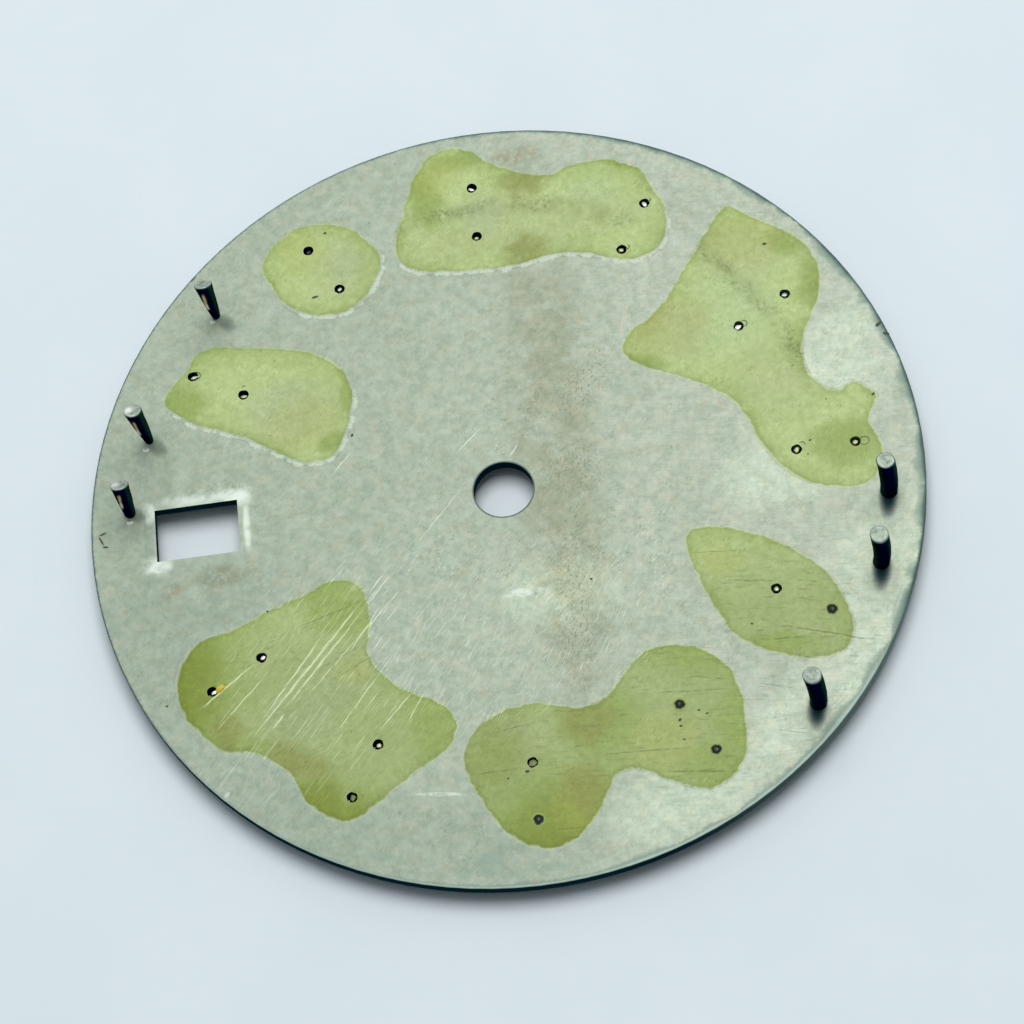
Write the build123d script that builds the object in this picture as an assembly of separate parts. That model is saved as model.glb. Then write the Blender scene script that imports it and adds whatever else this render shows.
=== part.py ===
from build123d import *
import os

# A watch dial lying face down, in millimetres. The origin is the centre of the centre
# hole on the back face of the plate. +Z points away from the back, to the movement.
# +Y points to 12 o'clock, so 3 o'clock and the date window lie at -X.
# Angles run counter-clockwise from 12 o'clock, which is clockwise on the face.

# Dial plate: a round brass blank
DIAL_DIAMETER = 28.5
PLATE_THICKNESS = 0.45
BACK_EDGE_ROUND = 0.04
FACE_EDGE_BEVEL = 0.04
CENTRE_HOLE_DIAMETER = 2.05
CUT_OVERRUN = 0.5

# Date window at 3 o'clock, bevelled on the face and with a pressed-up border on the back
WINDOW_RIM_GAP = 2.25
WINDOW_LENGTH = 2.87
WINDOW_HEIGHT = 1.95
WINDOW_BEVEL = 0.12
BORDER_WIDTH = 0.40
BORDER_HEIGHT = 0.04
BORDER_SLOPE = 0.32
BORDER_CORNER_ROUND = 0.16

# Face: a lacquer coat with a printed minute track
COAT_THICKNESS = 0.03
COAT_EDGE_GAP = 0.05
INK_THICKNESS = 0.015
TRACK_EDGE_GAP = 0.35
MINUTE_TICK_LENGTH = 0.42
MINUTE_TICK_WIDTH = 0.08
FIVE_MINUTE_TICK_WIDTH = 0.18
TRACK_RING_WIDTH = 0.07
MINUTES = 60
MINUTES_PER_HOUR = 5
HOURS = 12

# Hour markers: faceted batons, each in one piece with its two pins. The pin circles are
# shares of the dial's radius, so that the pins stay under the lacquer films.
OUTER_PIN_RADIUS_SHARE = 0.842
INNER_PIN_RADIUS_SHARE = 0.702
PIN_END_INSET = 0.90
MARKER_WIDTH = 0.85
MARKER_HEIGHT = 0.42
MARKER_WALL = 0.17
MARKER_CROWN_WIDTH = 0.25
MARKER_END_BEVEL = 0.35
TOP_MARKER_WIDTH = 1.50
TOP_MARKER_GROOVE_WIDTH = 0.30
TOP_MARKER_GROOVE_DEPTH = 0.19
PIN_DIAMETER = 0.24
PIN_HOLE_CLEARANCE = 0.07
PIN_RECESS = 0.13
PIN_TIP_BEVEL = 0.05

# Dial feet: copper wire welded to the back
FOOT_DIAMETER = 0.65
FOOT_HEIGHT = 2.39
FOOT_TOP_ROUND = 0.10
WELD_WIDTH = 0.06
WELD_HEIGHT = 0.08

# Fixing lacquer: dried films round the pins, with a low dome over each filled pin hole
LACQUER_THICKNESS = 0.05
LACQUER_EDGE_HEIGHT = 0.03
LACQUER_EDGE_WIDTH = 0.08
LACQUER_DRAWBACK = 0.01
LACQUER_DOME_DIAMETER = 0.56
LACQUER_DOME_HEIGHT = 0.05

DATE_HOUR = 3
TOP_HOUR = 12

# Each foot's angle from 12 o'clock, and its radius as a share of the dial's radius.
# A foot is named by the minute of the track that it stands at.
FOOT_PLACE_SHARES = {
    "dial_foot_08": (49.2, 0.880),
    "dial_foot_12": (73.2, 0.890),
    "dial_foot_14": (85.8, 0.897),
    "dial_foot_38": (225.5, 0.925),
    "dial_foot_42": (249.1, 0.918),
    "dial_foot_43": (260.8, 0.911),
}

# Outline of each lacquer film, clockwise, as shares of the dial's radius. Each is one
# closed smooth curve, round the pins of the hours in the film's name.
LACQUER_OUTLINE_SHARES = {
    "lacquer_11_12": [
        (-0.122, 0.934), (-0.087, 0.963), (-0.042, 0.972), (0.004, 0.956), (0.044, 0.919),
        (0.091, 0.888), (0.147, 0.863), (0.197, 0.854), (0.253, 0.872), (0.309, 0.877),
        (0.372, 0.863), (0.421, 0.832), (0.449, 0.779), (0.476, 0.702), (0.472, 0.642),
        (0.446, 0.595), (0.393, 0.573), (0.337, 0.575), (0.274, 0.602), (0.197, 0.615),
        (0.112, 0.602), (0.014, 0.600), (-0.084, 0.608), (-0.168, 0.628), (-0.205, 0.667),
        (-0.204, 0.730), (-0.184, 0.793), (-0.154, 0.880),
    ],
    "lacquer_01": [
        (-0.456, 0.799), (-0.393, 0.805), (-0.340, 0.795), (-0.298, 0.768), (-0.270, 0.737),
        (-0.240, 0.698), (-0.240, 0.653), (-0.267, 0.596), (-0.305, 0.554), (-0.358, 0.533),
        (-0.414, 0.537), (-0.470, 0.563), (-0.505, 0.604), (-0.530, 0.656), (-0.544, 0.702),
        (-0.523, 0.744), (-0.491, 0.775),
    ],
    "lacquer_02": [
        (-0.740, 0.456), (-0.712, 0.488), (-0.667, 0.498), (-0.596, 0.486), (-0.512, 0.470),
        (-0.435, 0.446), (-0.382, 0.411), (-0.344, 0.361), (-0.334, 0.316), (-0.347, 0.253),
        (-0.364, 0.196), (-0.393, 0.151), (-0.446, 0.135), (-0.498, 0.149), (-0.554, 0.186),
        (-0.625, 0.232), (-0.681, 0.258), (-0.730, 0.281), (-0.779, 0.316), (-0.808, 0.354),
        (-0.793, 0.393), (-0.760, 0.426),
    ],
    "lacquer_04_05": [
        (-0.463, -0.184), (-0.407, -0.175), (-0.361, -0.196), (-0.344, -0.246),
        (-0.344, -0.316), (-0.353, -0.375), (-0.331, -0.421), (-0.288, -0.467),
        (-0.225, -0.505), (-0.179, -0.540), (-0.161, -0.582), (-0.179, -0.635),
        (-0.235, -0.672), (-0.302, -0.716), (-0.365, -0.758), (-0.411, -0.787),
        (-0.456, -0.787), (-0.502, -0.759), (-0.539, -0.712), (-0.561, -0.660),
        (-0.604, -0.618), (-0.656, -0.588), (-0.709, -0.581), (-0.754, -0.539),
        (-0.793, -0.491), (-0.814, -0.435), (-0.814, -0.375), (-0.786, -0.316),
        (-0.744, -0.284), (-0.660, -0.261), (-0.582, -0.228), (-0.519, -0.207),
    ],
    "lacquer_06_07": [
        (-0.084, -0.571), (-0.021, -0.553), (0.042, -0.556), (0.098, -0.574), (0.154, -0.574),
        (0.196, -0.547), (0.239, -0.498), (0.288, -0.460), (0.351, -0.453), (0.421, -0.474),
        (0.470, -0.516), (0.495, -0.575), (0.502, -0.646), (0.495, -0.730), (0.470, -0.786),
        (0.414, -0.822), (0.351, -0.814), (0.288, -0.782), (0.239, -0.756), (0.196, -0.759),
        (0.168, -0.800), (0.130, -0.860), (0.077, -0.907), (0.021, -0.919), (-0.039, -0.900),
        (-0.088, -0.853), (-0.123, -0.796), (-0.151, -0.733), (-0.161, -0.674),
        (-0.137, -0.611),
    ],
    "lacquer_08": [
        (0.435, -0.165), (0.484, -0.167), (0.540, -0.184), (0.604, -0.211), (0.660, -0.247),
        (0.709, -0.295), (0.747, -0.345), (0.768, -0.404), (0.777, -0.463), (0.754, -0.523),
        (0.695, -0.542), (0.625, -0.530), (0.554, -0.502), (0.495, -0.453), (0.460, -0.386),
        (0.435, -0.323), (0.416, -0.260), (0.412, -0.204),
    ],
    "lacquer_09_10": [
        (0.586, 0.667), (0.632, 0.689), (0.675, 0.656), (0.730, 0.617), (0.781, 0.579),
        (0.814, 0.526), (0.825, 0.470), (0.813, 0.400), (0.779, 0.337), (0.756, 0.274),
        (0.759, 0.211), (0.786, 0.165), (0.821, 0.147), (0.860, 0.161), (0.891, 0.144),
        (0.914, 0.109), (0.893, 0.074), (0.891, 0.028), (0.907, -0.025), (0.893, -0.084),
        (0.849, -0.119), (0.800, -0.121), (0.737, -0.102), (0.684, -0.067), (0.639, -0.014),
        (0.612, 0.042), (0.589, 0.112), (0.547, 0.168), (0.491, 0.209), (0.421, 0.247),
        (0.358, 0.277), (0.316, 0.330), (0.337, 0.373), (0.393, 0.413), (0.449, 0.467),
        (0.491, 0.530), (0.547, 0.611),
    ],
}

# Sizes that follow from the ones above
DIAL_RADIUS = DIAL_DIAMETER / 2
PLATE_FACE_Z = -PLATE_THICKNESS
COAT_FACE_Z = PLATE_FACE_Z - COAT_THICKNESS
CUT_LOW_Z = COAT_FACE_Z - CUT_OVERRUN
CUT_HIGH_Z = CUT_OVERRUN
PIN_HOLE_DIAMETER = PIN_DIAMETER + 2 * PIN_HOLE_CLEARANCE
OUTER_PIN_RADIUS = OUTER_PIN_RADIUS_SHARE * DIAL_RADIUS
INNER_PIN_RADIUS = INNER_PIN_RADIUS_SHARE * DIAL_RADIUS
MARKER_CENTRE_RADIUS = (OUTER_PIN_RADIUS + INNER_PIN_RADIUS) / 2
MARKER_LENGTH = OUTER_PIN_RADIUS - INNER_PIN_RADIUS + 2 * PIN_END_INSET
MARKER_HOURS = [hour for hour in range(1, HOURS + 1) if hour != DATE_HOUR]
PIN_PLACES = [
    (hour, radius) for hour in MARKER_HOURS for radius in (INNER_PIN_RADIUS, OUTER_PIN_RADIUS)
]
FILLED_PIN_PLACES = [
    (6, OUTER_PIN_RADIUS), (7, INNER_PIN_RADIUS), (7, OUTER_PIN_RADIUS), (8, OUTER_PIN_RADIUS),
]


def at_hour(hour):
    """Turn from 12 o'clock to an hour of the dial."""
    return Rot(Z=hour * 360 / HOURS)


def disc(radius, low_z, high_z):
    """Flat disc about the dial's axis."""
    return extrude(Pos(Z=low_z) * Circle(radius), high_z - low_z)


def at_pins(shape, pin_places):
    """Copies of a shape about some of the pins."""
    return [at_hour(hour) * Pos(Y=radius) * shape for hour, radius in pin_places]


def pin_holes(diameter, pin_places):
    """Cutters for the holes of some of the pins, through everything."""
    return at_pins(disc(diameter / 2, CUT_LOW_Z, CUT_HIGH_Z), pin_places)


def at_window(z):
    """Place over the centre of the date window, at a level."""
    return Pos(-(DIAL_RADIUS - WINDOW_RIM_GAP - WINDOW_LENGTH / 2), 0, z)


def window_outline(margin):
    """Outline of the date window, grown by a margin on all four sides."""
    return Rectangle(WINDOW_LENGTH + 2 * margin, WINDOW_HEIGHT + 2 * margin)


def window_border():
    """Low border with sloped sides and round corners, raised on the back by the press."""
    foot = fillet(window_outline(BORDER_WIDTH).vertices(), BORDER_CORNER_ROUND)
    crest = fillet(window_outline(BORDER_WIDTH - BORDER_SLOPE).vertices(), BORDER_CORNER_ROUND)
    return loft([at_window(0) * foot, at_window(BORDER_HEIGHT) * crest])


def window_bevel():
    """Cutter for the sloped edge of the window on the face."""
    mouth = at_window(PLATE_FACE_Z) * window_outline(WINDOW_BEVEL)
    throat = at_window(PLATE_FACE_Z + WINDOW_BEVEL) * window_outline(0)
    return loft([mouth, throat])


def through_cuts(window_margin):
    """Cutters for the centre hole, the date window and the pin holes."""
    centre_hole = disc(CENTRE_HOLE_DIAMETER / 2, CUT_LOW_Z, CUT_HIGH_Z)
    window = extrude(at_window(CUT_LOW_Z) * window_outline(window_margin), CUT_HIGH_Z - CUT_LOW_Z)
    return [centre_hole, window] + pin_holes(PIN_HOLE_DIAMETER, PIN_PLACES)


def dial_plate():
    """Brass blank with its centre hole, date window and pin holes."""
    plate = disc(DIAL_RADIUS, PLATE_FACE_Z, 0)
    plate = fillet(plate.edges().sort_by(Axis.Z)[-1], BACK_EDGE_ROUND)
    plate = chamfer(plate.edges().sort_by(Axis.Z)[0], FACE_EDGE_BEVEL)
    plate += window_border()
    plate -= window_bevel()
    return plate - through_cuts(0)


def face_coat():
    """Lacquer of the face, open at the plate's holes and at the window's bevel."""
    coat = disc(DIAL_RADIUS - COAT_EDGE_GAP, COAT_FACE_Z, PLATE_FACE_Z)
    return coat - through_cuts(WINDOW_BEVEL)


def minute_track():
    """Printed ring with a tick at each minute, wider at the hours."""
    ring_outer = DIAL_RADIUS - TRACK_EDGE_GAP - MINUTE_TICK_LENGTH
    low_z = COAT_FACE_Z - INK_THICKNESS
    ring = disc(ring_outer, low_z, COAT_FACE_Z)
    ring -= disc(ring_outer - TRACK_RING_WIDTH, low_z, COAT_FACE_Z)
    tick_length = MINUTE_TICK_LENGTH + TRACK_RING_WIDTH / 2
    tick_centre = DIAL_RADIUS - TRACK_EDGE_GAP - tick_length / 2
    ticks = []
    for minute in range(MINUTES):
        on_hour = minute % MINUTES_PER_HOUR == 0
        width = FIVE_MINUTE_TICK_WIDTH if on_hour else MINUTE_TICK_WIDTH
        tick = extrude(Rectangle(width, tick_length), INK_THICKNESS)
        ticks.append(Rot(Z=minute * 360 / MINUTES) * Pos(0, tick_centre, low_z) * tick)
    return ring + ticks


def baton(width):
    """Body of a marker at 12 o'clock: straight walls, then four facets to its crown."""
    base = Pos(Y=MARKER_CENTRE_RADIUS)
    shoulder_z = COAT_FACE_Z - MARKER_WALL
    crown_z = COAT_FACE_Z - MARKER_HEIGHT
    crown_width = width - MARKER_WIDTH + MARKER_CROWN_WIDTH
    crown_length = MARKER_LENGTH - 2 * MARKER_END_BEVEL
    shoulder = base * Pos(Z=shoulder_z) * Rectangle(width, MARKER_LENGTH)
    crown = base * Pos(Z=crown_z) * Rectangle(crown_width, crown_length)
    return extrude(shoulder, MARKER_WALL) + loft([shoulder, crown])


def crown_groove():
    """Cutter for the groove that splits the 12 o'clock marker's crown in two."""
    crown_z = COAT_FACE_Z - MARKER_HEIGHT
    half_width = TOP_MARKER_GROOVE_WIDTH / 2
    corners = [(-half_width, crown_z), (half_width, crown_z), (0, crown_z + TOP_MARKER_GROOVE_DEPTH)]
    outline = Plane.XZ * make_face(Polyline(corners, close=True))
    return extrude(outline, DIAL_RADIUS, both=True)


def marker_pin():
    """Pin of a marker, from its base to just below the back face."""
    pin = disc(PIN_DIAMETER / 2, COAT_FACE_Z, -PIN_RECESS)
    return chamfer(pin.edges().sort_by(Axis.Z)[-1], PIN_TIP_BEVEL)


def hour_marker(hour):
    """Applied marker with its two pins in the plate's holes."""
    is_top = hour == TOP_HOUR
    marker = baton(TOP_MARKER_WIDTH if is_top else MARKER_WIDTH)
    if is_top:
        marker -= crown_groove()
    marker += [Pos(Y=radius) * marker_pin() for radius in (INNER_PIN_RADIUS, OUTER_PIN_RADIUS)]
    return at_hour(hour) * marker


def dial_foot(degrees, radius_share):
    """Copper foot with a rounded end and a sloped collar of weld at its base."""
    radius = FOOT_DIAMETER / 2
    weld_start = (radius + WELD_WIDTH, 0)
    round_start = (radius, FOOT_HEIGHT - FOOT_TOP_ROUND)
    round_end = (radius - FOOT_TOP_ROUND, FOOT_HEIGHT)
    outline = Polyline(weld_start, (radius, WELD_HEIGHT), round_start)
    outline += RadiusArc(round_start, round_end, -FOOT_TOP_ROUND)
    outline += Polyline(round_end, (0, FOOT_HEIGHT), (0, 0), weld_start)
    foot = revolve(Plane.XZ * make_face(outline), Axis.Z)
    return Rot(Z=degrees) * Pos(Y=radius_share * DIAL_RADIUS) * foot


def lacquer_dome():
    """Low round cap of lacquer over a filled pin hole."""
    half_width = LACQUER_DOME_DIAMETER / 2
    sphere_radius = (half_width ** 2 + LACQUER_DOME_HEIGHT ** 2) / (2 * LACQUER_DOME_HEIGHT)
    sphere = Pos(Z=LACQUER_THICKNESS + LACQUER_DOME_HEIGHT - sphere_radius) * Sphere(sphere_radius)
    return sphere & disc(LACQUER_DOME_DIAMETER, 0, LACQUER_THICKNESS + LACQUER_DOME_HEIGHT)


def lacquer_film(name, outline_shares):
    """Dried film with a thinned edge, open or domed at each pin of the hours in its name."""
    hours = [int(text) for text in name.split("_")[1:]]
    pins = [place for place in PIN_PLACES if place[0] in hours]
    filled = [place for place in pins if place in FILLED_PIN_PLACES]
    open_pins = [place for place in pins if place not in filled]
    points = [(x * DIAL_RADIUS, y * DIAL_RADIUS) for x, y in outline_shares]
    film = extrude(make_face(Spline(*points, periodic=True)), LACQUER_THICKNESS)
    top = film.faces().sort_by(Axis.Z)[-1]
    film = chamfer(top.edges(), LACQUER_EDGE_WIDTH, LACQUER_EDGE_HEIGHT, reference=top)
    film += at_pins(lacquer_dome(), filled)
    return film - pin_holes(PIN_HOLE_DIAMETER + 2 * LACQUER_DRAWBACK, open_pins)


def write(name, shape):
    export_step(shape, f"parts/{name}.step")


def main():
    os.makedirs("parts", exist_ok=True)
    write("dial_plate", dial_plate())
    write("face_coat", face_coat())
    write("minute_track", minute_track())
    for hour in MARKER_HOURS:
        write(f"hour_marker_{hour:02d}", hour_marker(hour))
    for name, (degrees, radius_share) in FOOT_PLACE_SHARES.items():
        write(name, dial_foot(degrees, radius_share))
    for name, outline_shares in LACQUER_OUTLINE_SHARES.items():
        write(name, lacquer_film(name, outline_shares))


main()
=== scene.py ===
import math

import bmesh
import bpy
import numpy as np
from bpy.props import FloatProperty, FloatVectorProperty, IntProperty, PointerProperty
from mathutils import Matrix, Vector
from mathutils.geometry import delaunay_2d_cdt
from mathutils.noise import noise


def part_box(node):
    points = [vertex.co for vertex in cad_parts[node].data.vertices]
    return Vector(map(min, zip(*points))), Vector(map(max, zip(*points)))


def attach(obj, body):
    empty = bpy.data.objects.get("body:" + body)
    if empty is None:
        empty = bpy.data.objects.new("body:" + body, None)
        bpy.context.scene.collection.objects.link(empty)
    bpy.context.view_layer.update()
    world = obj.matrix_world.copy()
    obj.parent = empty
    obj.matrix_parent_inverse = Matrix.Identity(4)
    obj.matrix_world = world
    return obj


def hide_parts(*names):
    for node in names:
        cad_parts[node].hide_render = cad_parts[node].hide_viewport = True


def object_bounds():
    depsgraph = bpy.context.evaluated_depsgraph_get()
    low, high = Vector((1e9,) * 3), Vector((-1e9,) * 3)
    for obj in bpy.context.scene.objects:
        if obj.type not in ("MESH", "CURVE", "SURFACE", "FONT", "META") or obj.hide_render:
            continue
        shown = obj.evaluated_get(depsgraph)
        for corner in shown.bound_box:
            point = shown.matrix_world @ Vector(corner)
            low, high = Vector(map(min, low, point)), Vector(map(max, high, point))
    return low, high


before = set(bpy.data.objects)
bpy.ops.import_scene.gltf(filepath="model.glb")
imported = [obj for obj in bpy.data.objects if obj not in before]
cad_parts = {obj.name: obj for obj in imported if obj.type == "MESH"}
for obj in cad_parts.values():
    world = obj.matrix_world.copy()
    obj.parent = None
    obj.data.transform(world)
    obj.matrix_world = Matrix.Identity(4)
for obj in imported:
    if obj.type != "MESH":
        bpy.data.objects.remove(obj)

bl_info = {
    "name": "Watch Dial",
    "version": (1, 0, 0),
    "blender": (4, 5, 0),
    "location": "View3D > Sidebar > Watch Dial",
    "description": "Dresses a watch dial that lies face down: plate, lacquer, pins, feet and stage",
    "category": "Object",
}

MM = 0.001
# Keeps a division by a length of nothing from failing
TINY = 1e-12
BODY = "root"
CAD_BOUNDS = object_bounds()
MARKERS = sorted(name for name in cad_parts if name.startswith("hour_marker"))
FEET = sorted(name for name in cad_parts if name.startswith("dial_foot"))
FILMS = sorted(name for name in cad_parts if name.startswith("lacquer"))
FILLED_PINS = [(6, "outer"), (7, "inner"), (7, "outer"), (8, "outer")]
# Gives a mask soft edges
SOFT = {"interpolation_type": "SMOOTHSTEP"}

# Places on the back are in millimetres from the centre hole, +X right and +Y up to
# 12 o'clock. A spot is its centre, half length, half width and turn in degrees. A line is
# its two ends and its width.
PLATE_RADIUS = 14.25
WINDOW_LOW, WINDOW_HIGH = Vector((-12.0, -0.975)), Vector((-9.12, 0.975))
WINDOW_WEAR_AND_HIGHLIGHT_SPOTS = [
    (-10.4, 1.35, 1.9, 0.50, 0), (-9.0, 1.2, 0.8, 0.6, 0), (-12.1, -1.15, 0.8, 0.45, 0),
    (-8.85, -0.1, 0.16, 1.2, 0), (-12.2, 0.9, 0.3, 0.5, 0),
]
# Radii between which a thin dark line of painted shade runs round the centre hole
HOLE_EDGE_SHADE_RADII = (1.09, 1.05)
RUBBED_RING_RADIUS = 11.15
RUBBED_RING_WIDTH = 0.55
BROWN_BAND = [(1.9, 1.2, 13.5, 1.9, 90)]
TAN_FLECK_SPOTS = [(2.4, 0.4, 1.6, 1.3, 0), (2.0, -4.6, 3.6, 1.0, 90), (3.1, 3.6, 2.0, 1.1, 60)]
FLECKED_SPOTS = [
    (0.6, 2.6, 2.6, 1.4, 30), (-1.6, -2.2, 3.0, 1.6, -20), (3.0, -3.0, 3.5, 2.6, 0),
    (-9.8, 1.6, 1.2, 0.6, 0), (9.9, 3.4, 3.0, 2.0, -40), (11.6, -9.0, 3.4, 1.6, 45),
]
DULL_PLATE_SPOTS = [
    (-11.5, -3.5, 5.0, 4.0, 60), (-8.0, -11.5, 6.5, 3.0, -35), (-2.0, -12.6, 6.0, 2.4, -8),
    (-12.6, 1.5, 2.6, 3.4, 0),
]
BRIGHT_PLATE_SPOTS = [
    (12.2, -5.4, 5.5, 2.4, -112), (11.0, 2.4, 3.4, 2.6, 30), (8.6, -9.6, 3.4, 1.4, 45),
    (9.2, -0.8, 2.6, 1.6, 0), (10.8, -9.0, 2.4, 1.2, 50), (1.5, -4.0, 2.6, 1.6, 0),
    (12.2, 4.2, 2.0, 1.4, 50), (11.8, -7.6, 2.6, 1.8, 60), (4.8, -12.0, 3.6, 1.8, 14),
]
SHADED_RIM_SPOTS = [(7.6, -12.4, 2.6, 0.55, 27), (9.8, -10.7, 1.8, 0.50, 42)]
SCRATCHED_LEFT_SPOTS = [(-6.4, -6.0, 6.2, 4.2, 48), (-10.6, -9.8, 1.6, 0.8, -45)]
SCRATCHED_MIDDLE_SPOTS = [(0.2, -5.4, 6.5, 4.2, 15)]
SCRATCHED_RIGHT_SPOTS = [(5.0, -9.2, 8.2, 4.4, -12), (9.5, -6.0, 4.5, 3.0, -12)]
WHITE_SMEARS = [
    (0.3, -3.9, 0.85, 0.20, 2), (-9.3, 1.20, 0.50, 0.34, 10), (-11.9, -1.20, 0.5, 0.24, 0),
    (-3.0, -10.7, 1.1, 0.09, -8), (0.1, -11.1, 1.3, 0.10, 2), (-4.2, 10.3, 0.5, 0.12, 60),
    (-11.3, -9.4, 0.5, 0.12, 60), (-10.2, -9.9, 0.5, 0.10, 62),
]
BROWN_SMEARS = [(-9.6, -1.75, 1.4, 0.40, 6), (-11.3, -2.0, 0.8, 0.3, 20), (1.6, 13.0, 1.3, 0.6, 0)]
GREEN_STAINS = [
    (-1.7, -13.15, 0.75, 0.55, 0), (-2.6, -13.45, 0.7, 0.3, 8), (-5.2, -12.6, 0.8, 0.22, -20),
    (0.4, -13.7, 0.7, 0.22, 0),
]
# Painted shadows of the feet on the back: dark ones below the three feet on the right, and faint
# ones beside the three on the left
FOOT_PAINTED_SHADOWS = [
    (12.80, -2.22, 0.95, 0.38, 80), (12.20, -4.80, 0.95, 0.38, 80), (9.42, -9.44, 0.90, 0.38, 80),
]
FAINT_FOOT_PAINTED_SHADOWS = [
    (-9.08, 7.92, 0.5, 0.32, -60), (-11.78, 3.42, 0.55, 0.34, -60), (-12.60, 0.92, 0.45, 0.30, -50),
]
DARK_RING_SPOTS = [(1.6, 10.9, 5.6, 2.2, 0), (9.2, 6.4, 4.6, 2.6, -45)]
PALE_LINES = [
    (-9.32, -8.04, -4.87, -3.15, 0.080), (-8.11, -7.08, -5.03, -3.66, 0.065),
    (-8.87, -7.36, -6.35, -4.23, 0.060), (-7.44, -6.82, -5.05, -4.42, 0.03),
    (-10.96, -6.67, -8.81, -5.12, 0.055), (-10.43, -7.53, -8.51, -5.61, 0.035),
    (-5.78, -5.38, -4.49, -3.61, 0.04), (-6.39, -8.11, -4.69, -6.07, 0.035),
    (-4.94, -8.23, -3.69, -6.92, 0.04), (-4.04, -8.18, -3.29, -6.98, 0.03),
    (-5.50, -4.89, -3.70, -3.09, 0.03), (-4.87, -3.15, -4.3, -2.5, 0.04),
    (-5.03, -3.66, -4.0, -2.5, 0.03), (-8.5, -7.7, -8.0, -7.1, 0.07),
    (12.30, -6.70, 12.85, -5.50, 0.09),
    (-5.9, 1.3, -5.0, 2.3, 0.03), (-1.6, 1.5, -0.4, 2.6, 0.03), (0.3, 1.2, 0.7, 1.7, 0.04),
    (-3.4, -1.9, -1.3, 0.4, 0.025),
]
DARK_LINES = [
    (6.82, -4.43, 8.85, -4.76, 0.05), (9.27, -4.79, 10.11, -4.97, 0.05),
    (8.31, -6.25, 11.09, -7.12, 0.06), (7.81, -6.78, 9.68, -6.87, 0.05),
    (7.46, -8.21, 9.09, -8.72, 0.045), (10.51, -6.99, 11.74, -7.31, 0.06),
    (7.59, -9.88, 9.21, -10.29, 0.035), (4.09, -10.92, 6.82, -11.26, 0.07),
    (6.01, -3.31, 7.81, -3.44, 0.035), (-1.26, -8.80, 0.29, -8.63, 0.045),
    (4.04, -8.13, 6.90, -8.37, 0.045), (1.91, -10.03, 5.40, -10.22, 0.045),
    (-2.03, -10.15, -0.43, -10.17, 0.045), (5.22, -7.69, 6.79, -8.01, 0.05),
    (0.30, -12.43, 1.65, -12.49, 0.04), (-7.6, -4.15, -4.9, -3.35, 0.04),
    (-7.2, -5.9, -5.2, -5.0, 0.035), (-6.6, -6.3, -4.2, -5.1, 0.035),
    (-2.6, -3.9, -1.5, -3.7, 0.035),
]
DEEP_FILM_SPOTS = [
    (-1.7, 11.8, 0.9, 1.6, 0), (5.6, 12.1, 1.3, 0.45, -15), (-0.4, 13.2, 1.6, 0.6, 10),
    (-11.2, -5.4, 2.8, 3.4, 0), (-6.6, -11.4, 3.4, 2.2, -30), (-3.0, -8.2, 1.4, 1.8, 0),
    (-6.4, -2.6, 1.8, 0.9, 10), (0.6, -12.4, 4.0, 3.2, 0), (7.4, -9.8, 2.0, 2.2, 10),
    (5.6, -6.7, 2.4, 1.2, -20), (5.2, 4.1, 1.2, 0.5, -20), (2.4, -9.0, 1.8, 1.8, 0),
    (10.6, 8.0, 1.0, 0.6, -45), (11.4, 6.2, 0.7, 1.6, 0), (11.6, 0.0, 1.6, 1.2, 0),
    (-10.8, 5.0, 1.2, 0.8, 0), (-5.6, 2.7, 1.0, 0.5, 20), (6.2, -10.9, 1.9, 1.1, -10),
    (-5.0, 4.8, 0.4, 1.4, 0), (-9.2, -9.2, 2.2, 1.6, -40), (8.6, -6.9, 1.6, 0.5, -10),
    (-1.2, -9.8, 1.4, 1.6, 0), (-6.0, -3.7, 1.5, 1.1, 0),
]
DEEPEST_FILM_SPOTS = [
    (-11.6, -5.6, 2.0, 3.0, 0), (-5.6, -11.8, 2.4, 1.7, -30), (0.8, -12.9, 2.8, 2.6, 5),
    (8.4, -9.9, 1.6, 1.5, 0), (-9.2, -9.6, 2.0, 1.1, -40), (-7.0, -10.4, 1.4, 0.9, -30),
]
YELLOW_FILM_SPOTS = [
    (-1.2, 12.6, 1.3, 1.1, 20), (-6.3, 10.3, 1.0, 1.3, 0), (-5.6, -5.9, 0.9, 0.8, 0),
    (8.0, -10.3, 1.4, 0.9, 0), (8.0, -8.2, 1.4, 1.4, 0), (4.4, -9.8, 1.6, 1.4, 0),
    (1.4, -11.6, 1.2, 1.6, 0), (7.0, -3.6, 1.0, 0.8, -20),
    (6.0, 5.6, 2.6, 1.6, 0), (9.4, 8.6, 1.8, 1.4, 0), (-6.6, 3.6, 1.6, 1.3, 0),
]
DUSKY_FILM_SPOTS = [
    (1.6, 10.1, 6.0, 1.3, 3), (0.8, 10.5, 2.8, 1.3, 0), (2.2, 9.8, 3.6, 1.0, 0),
    (-7.0, 4.0, 2.6, 1.8, -10), (9.6, 2.7, 1.6, 2.2, 35), (-4.9, 9.4, 1.4, 1.6, 0),
    (-1.3, -9.6, 1.8, 2.2, 0), (8.9, 8.0, 2.2, 1.5, -20), (6.3, 5.2, 1.7, 1.5, 0),
]
BROWN_FILM_SPOTS = [
    (1.7, 9.2, 1.1, 0.9, 0), (1.9, 12.0, 1.3, 0.9, 0), (1.9, -8.8, 1.2, 1.2, 0),
    (1.6, -11.1, 1.0, 1.2, 0), (-10.0, -7.6, 0.6, 1.0, 0), (-7.6, -8.9, 1.6, 0.7, -35),
]
PALE_FILM_SPOTS = [
    (-7.4, -7.4, 2.3, 1.4, 35), (8.2, 5.6, 2.5, 2.0, 20), (-5.6, -5.8, 2.4, 1.2, 45),
    (0.3, 10.9, 1.0, 1.2, 0), (-4.7, 9.8, 0.9, 1.2, 0), (-7.0, 4.2, 2.1, 1.6, -10),
    (4.2, 11.2, 1.3, 0.9, 0),
]

# How far in from its outline a film has rows of points that follow it
EDGE_BAND_DEPTHS = (0.07, 0.15, 0.24, 0.34)
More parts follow.
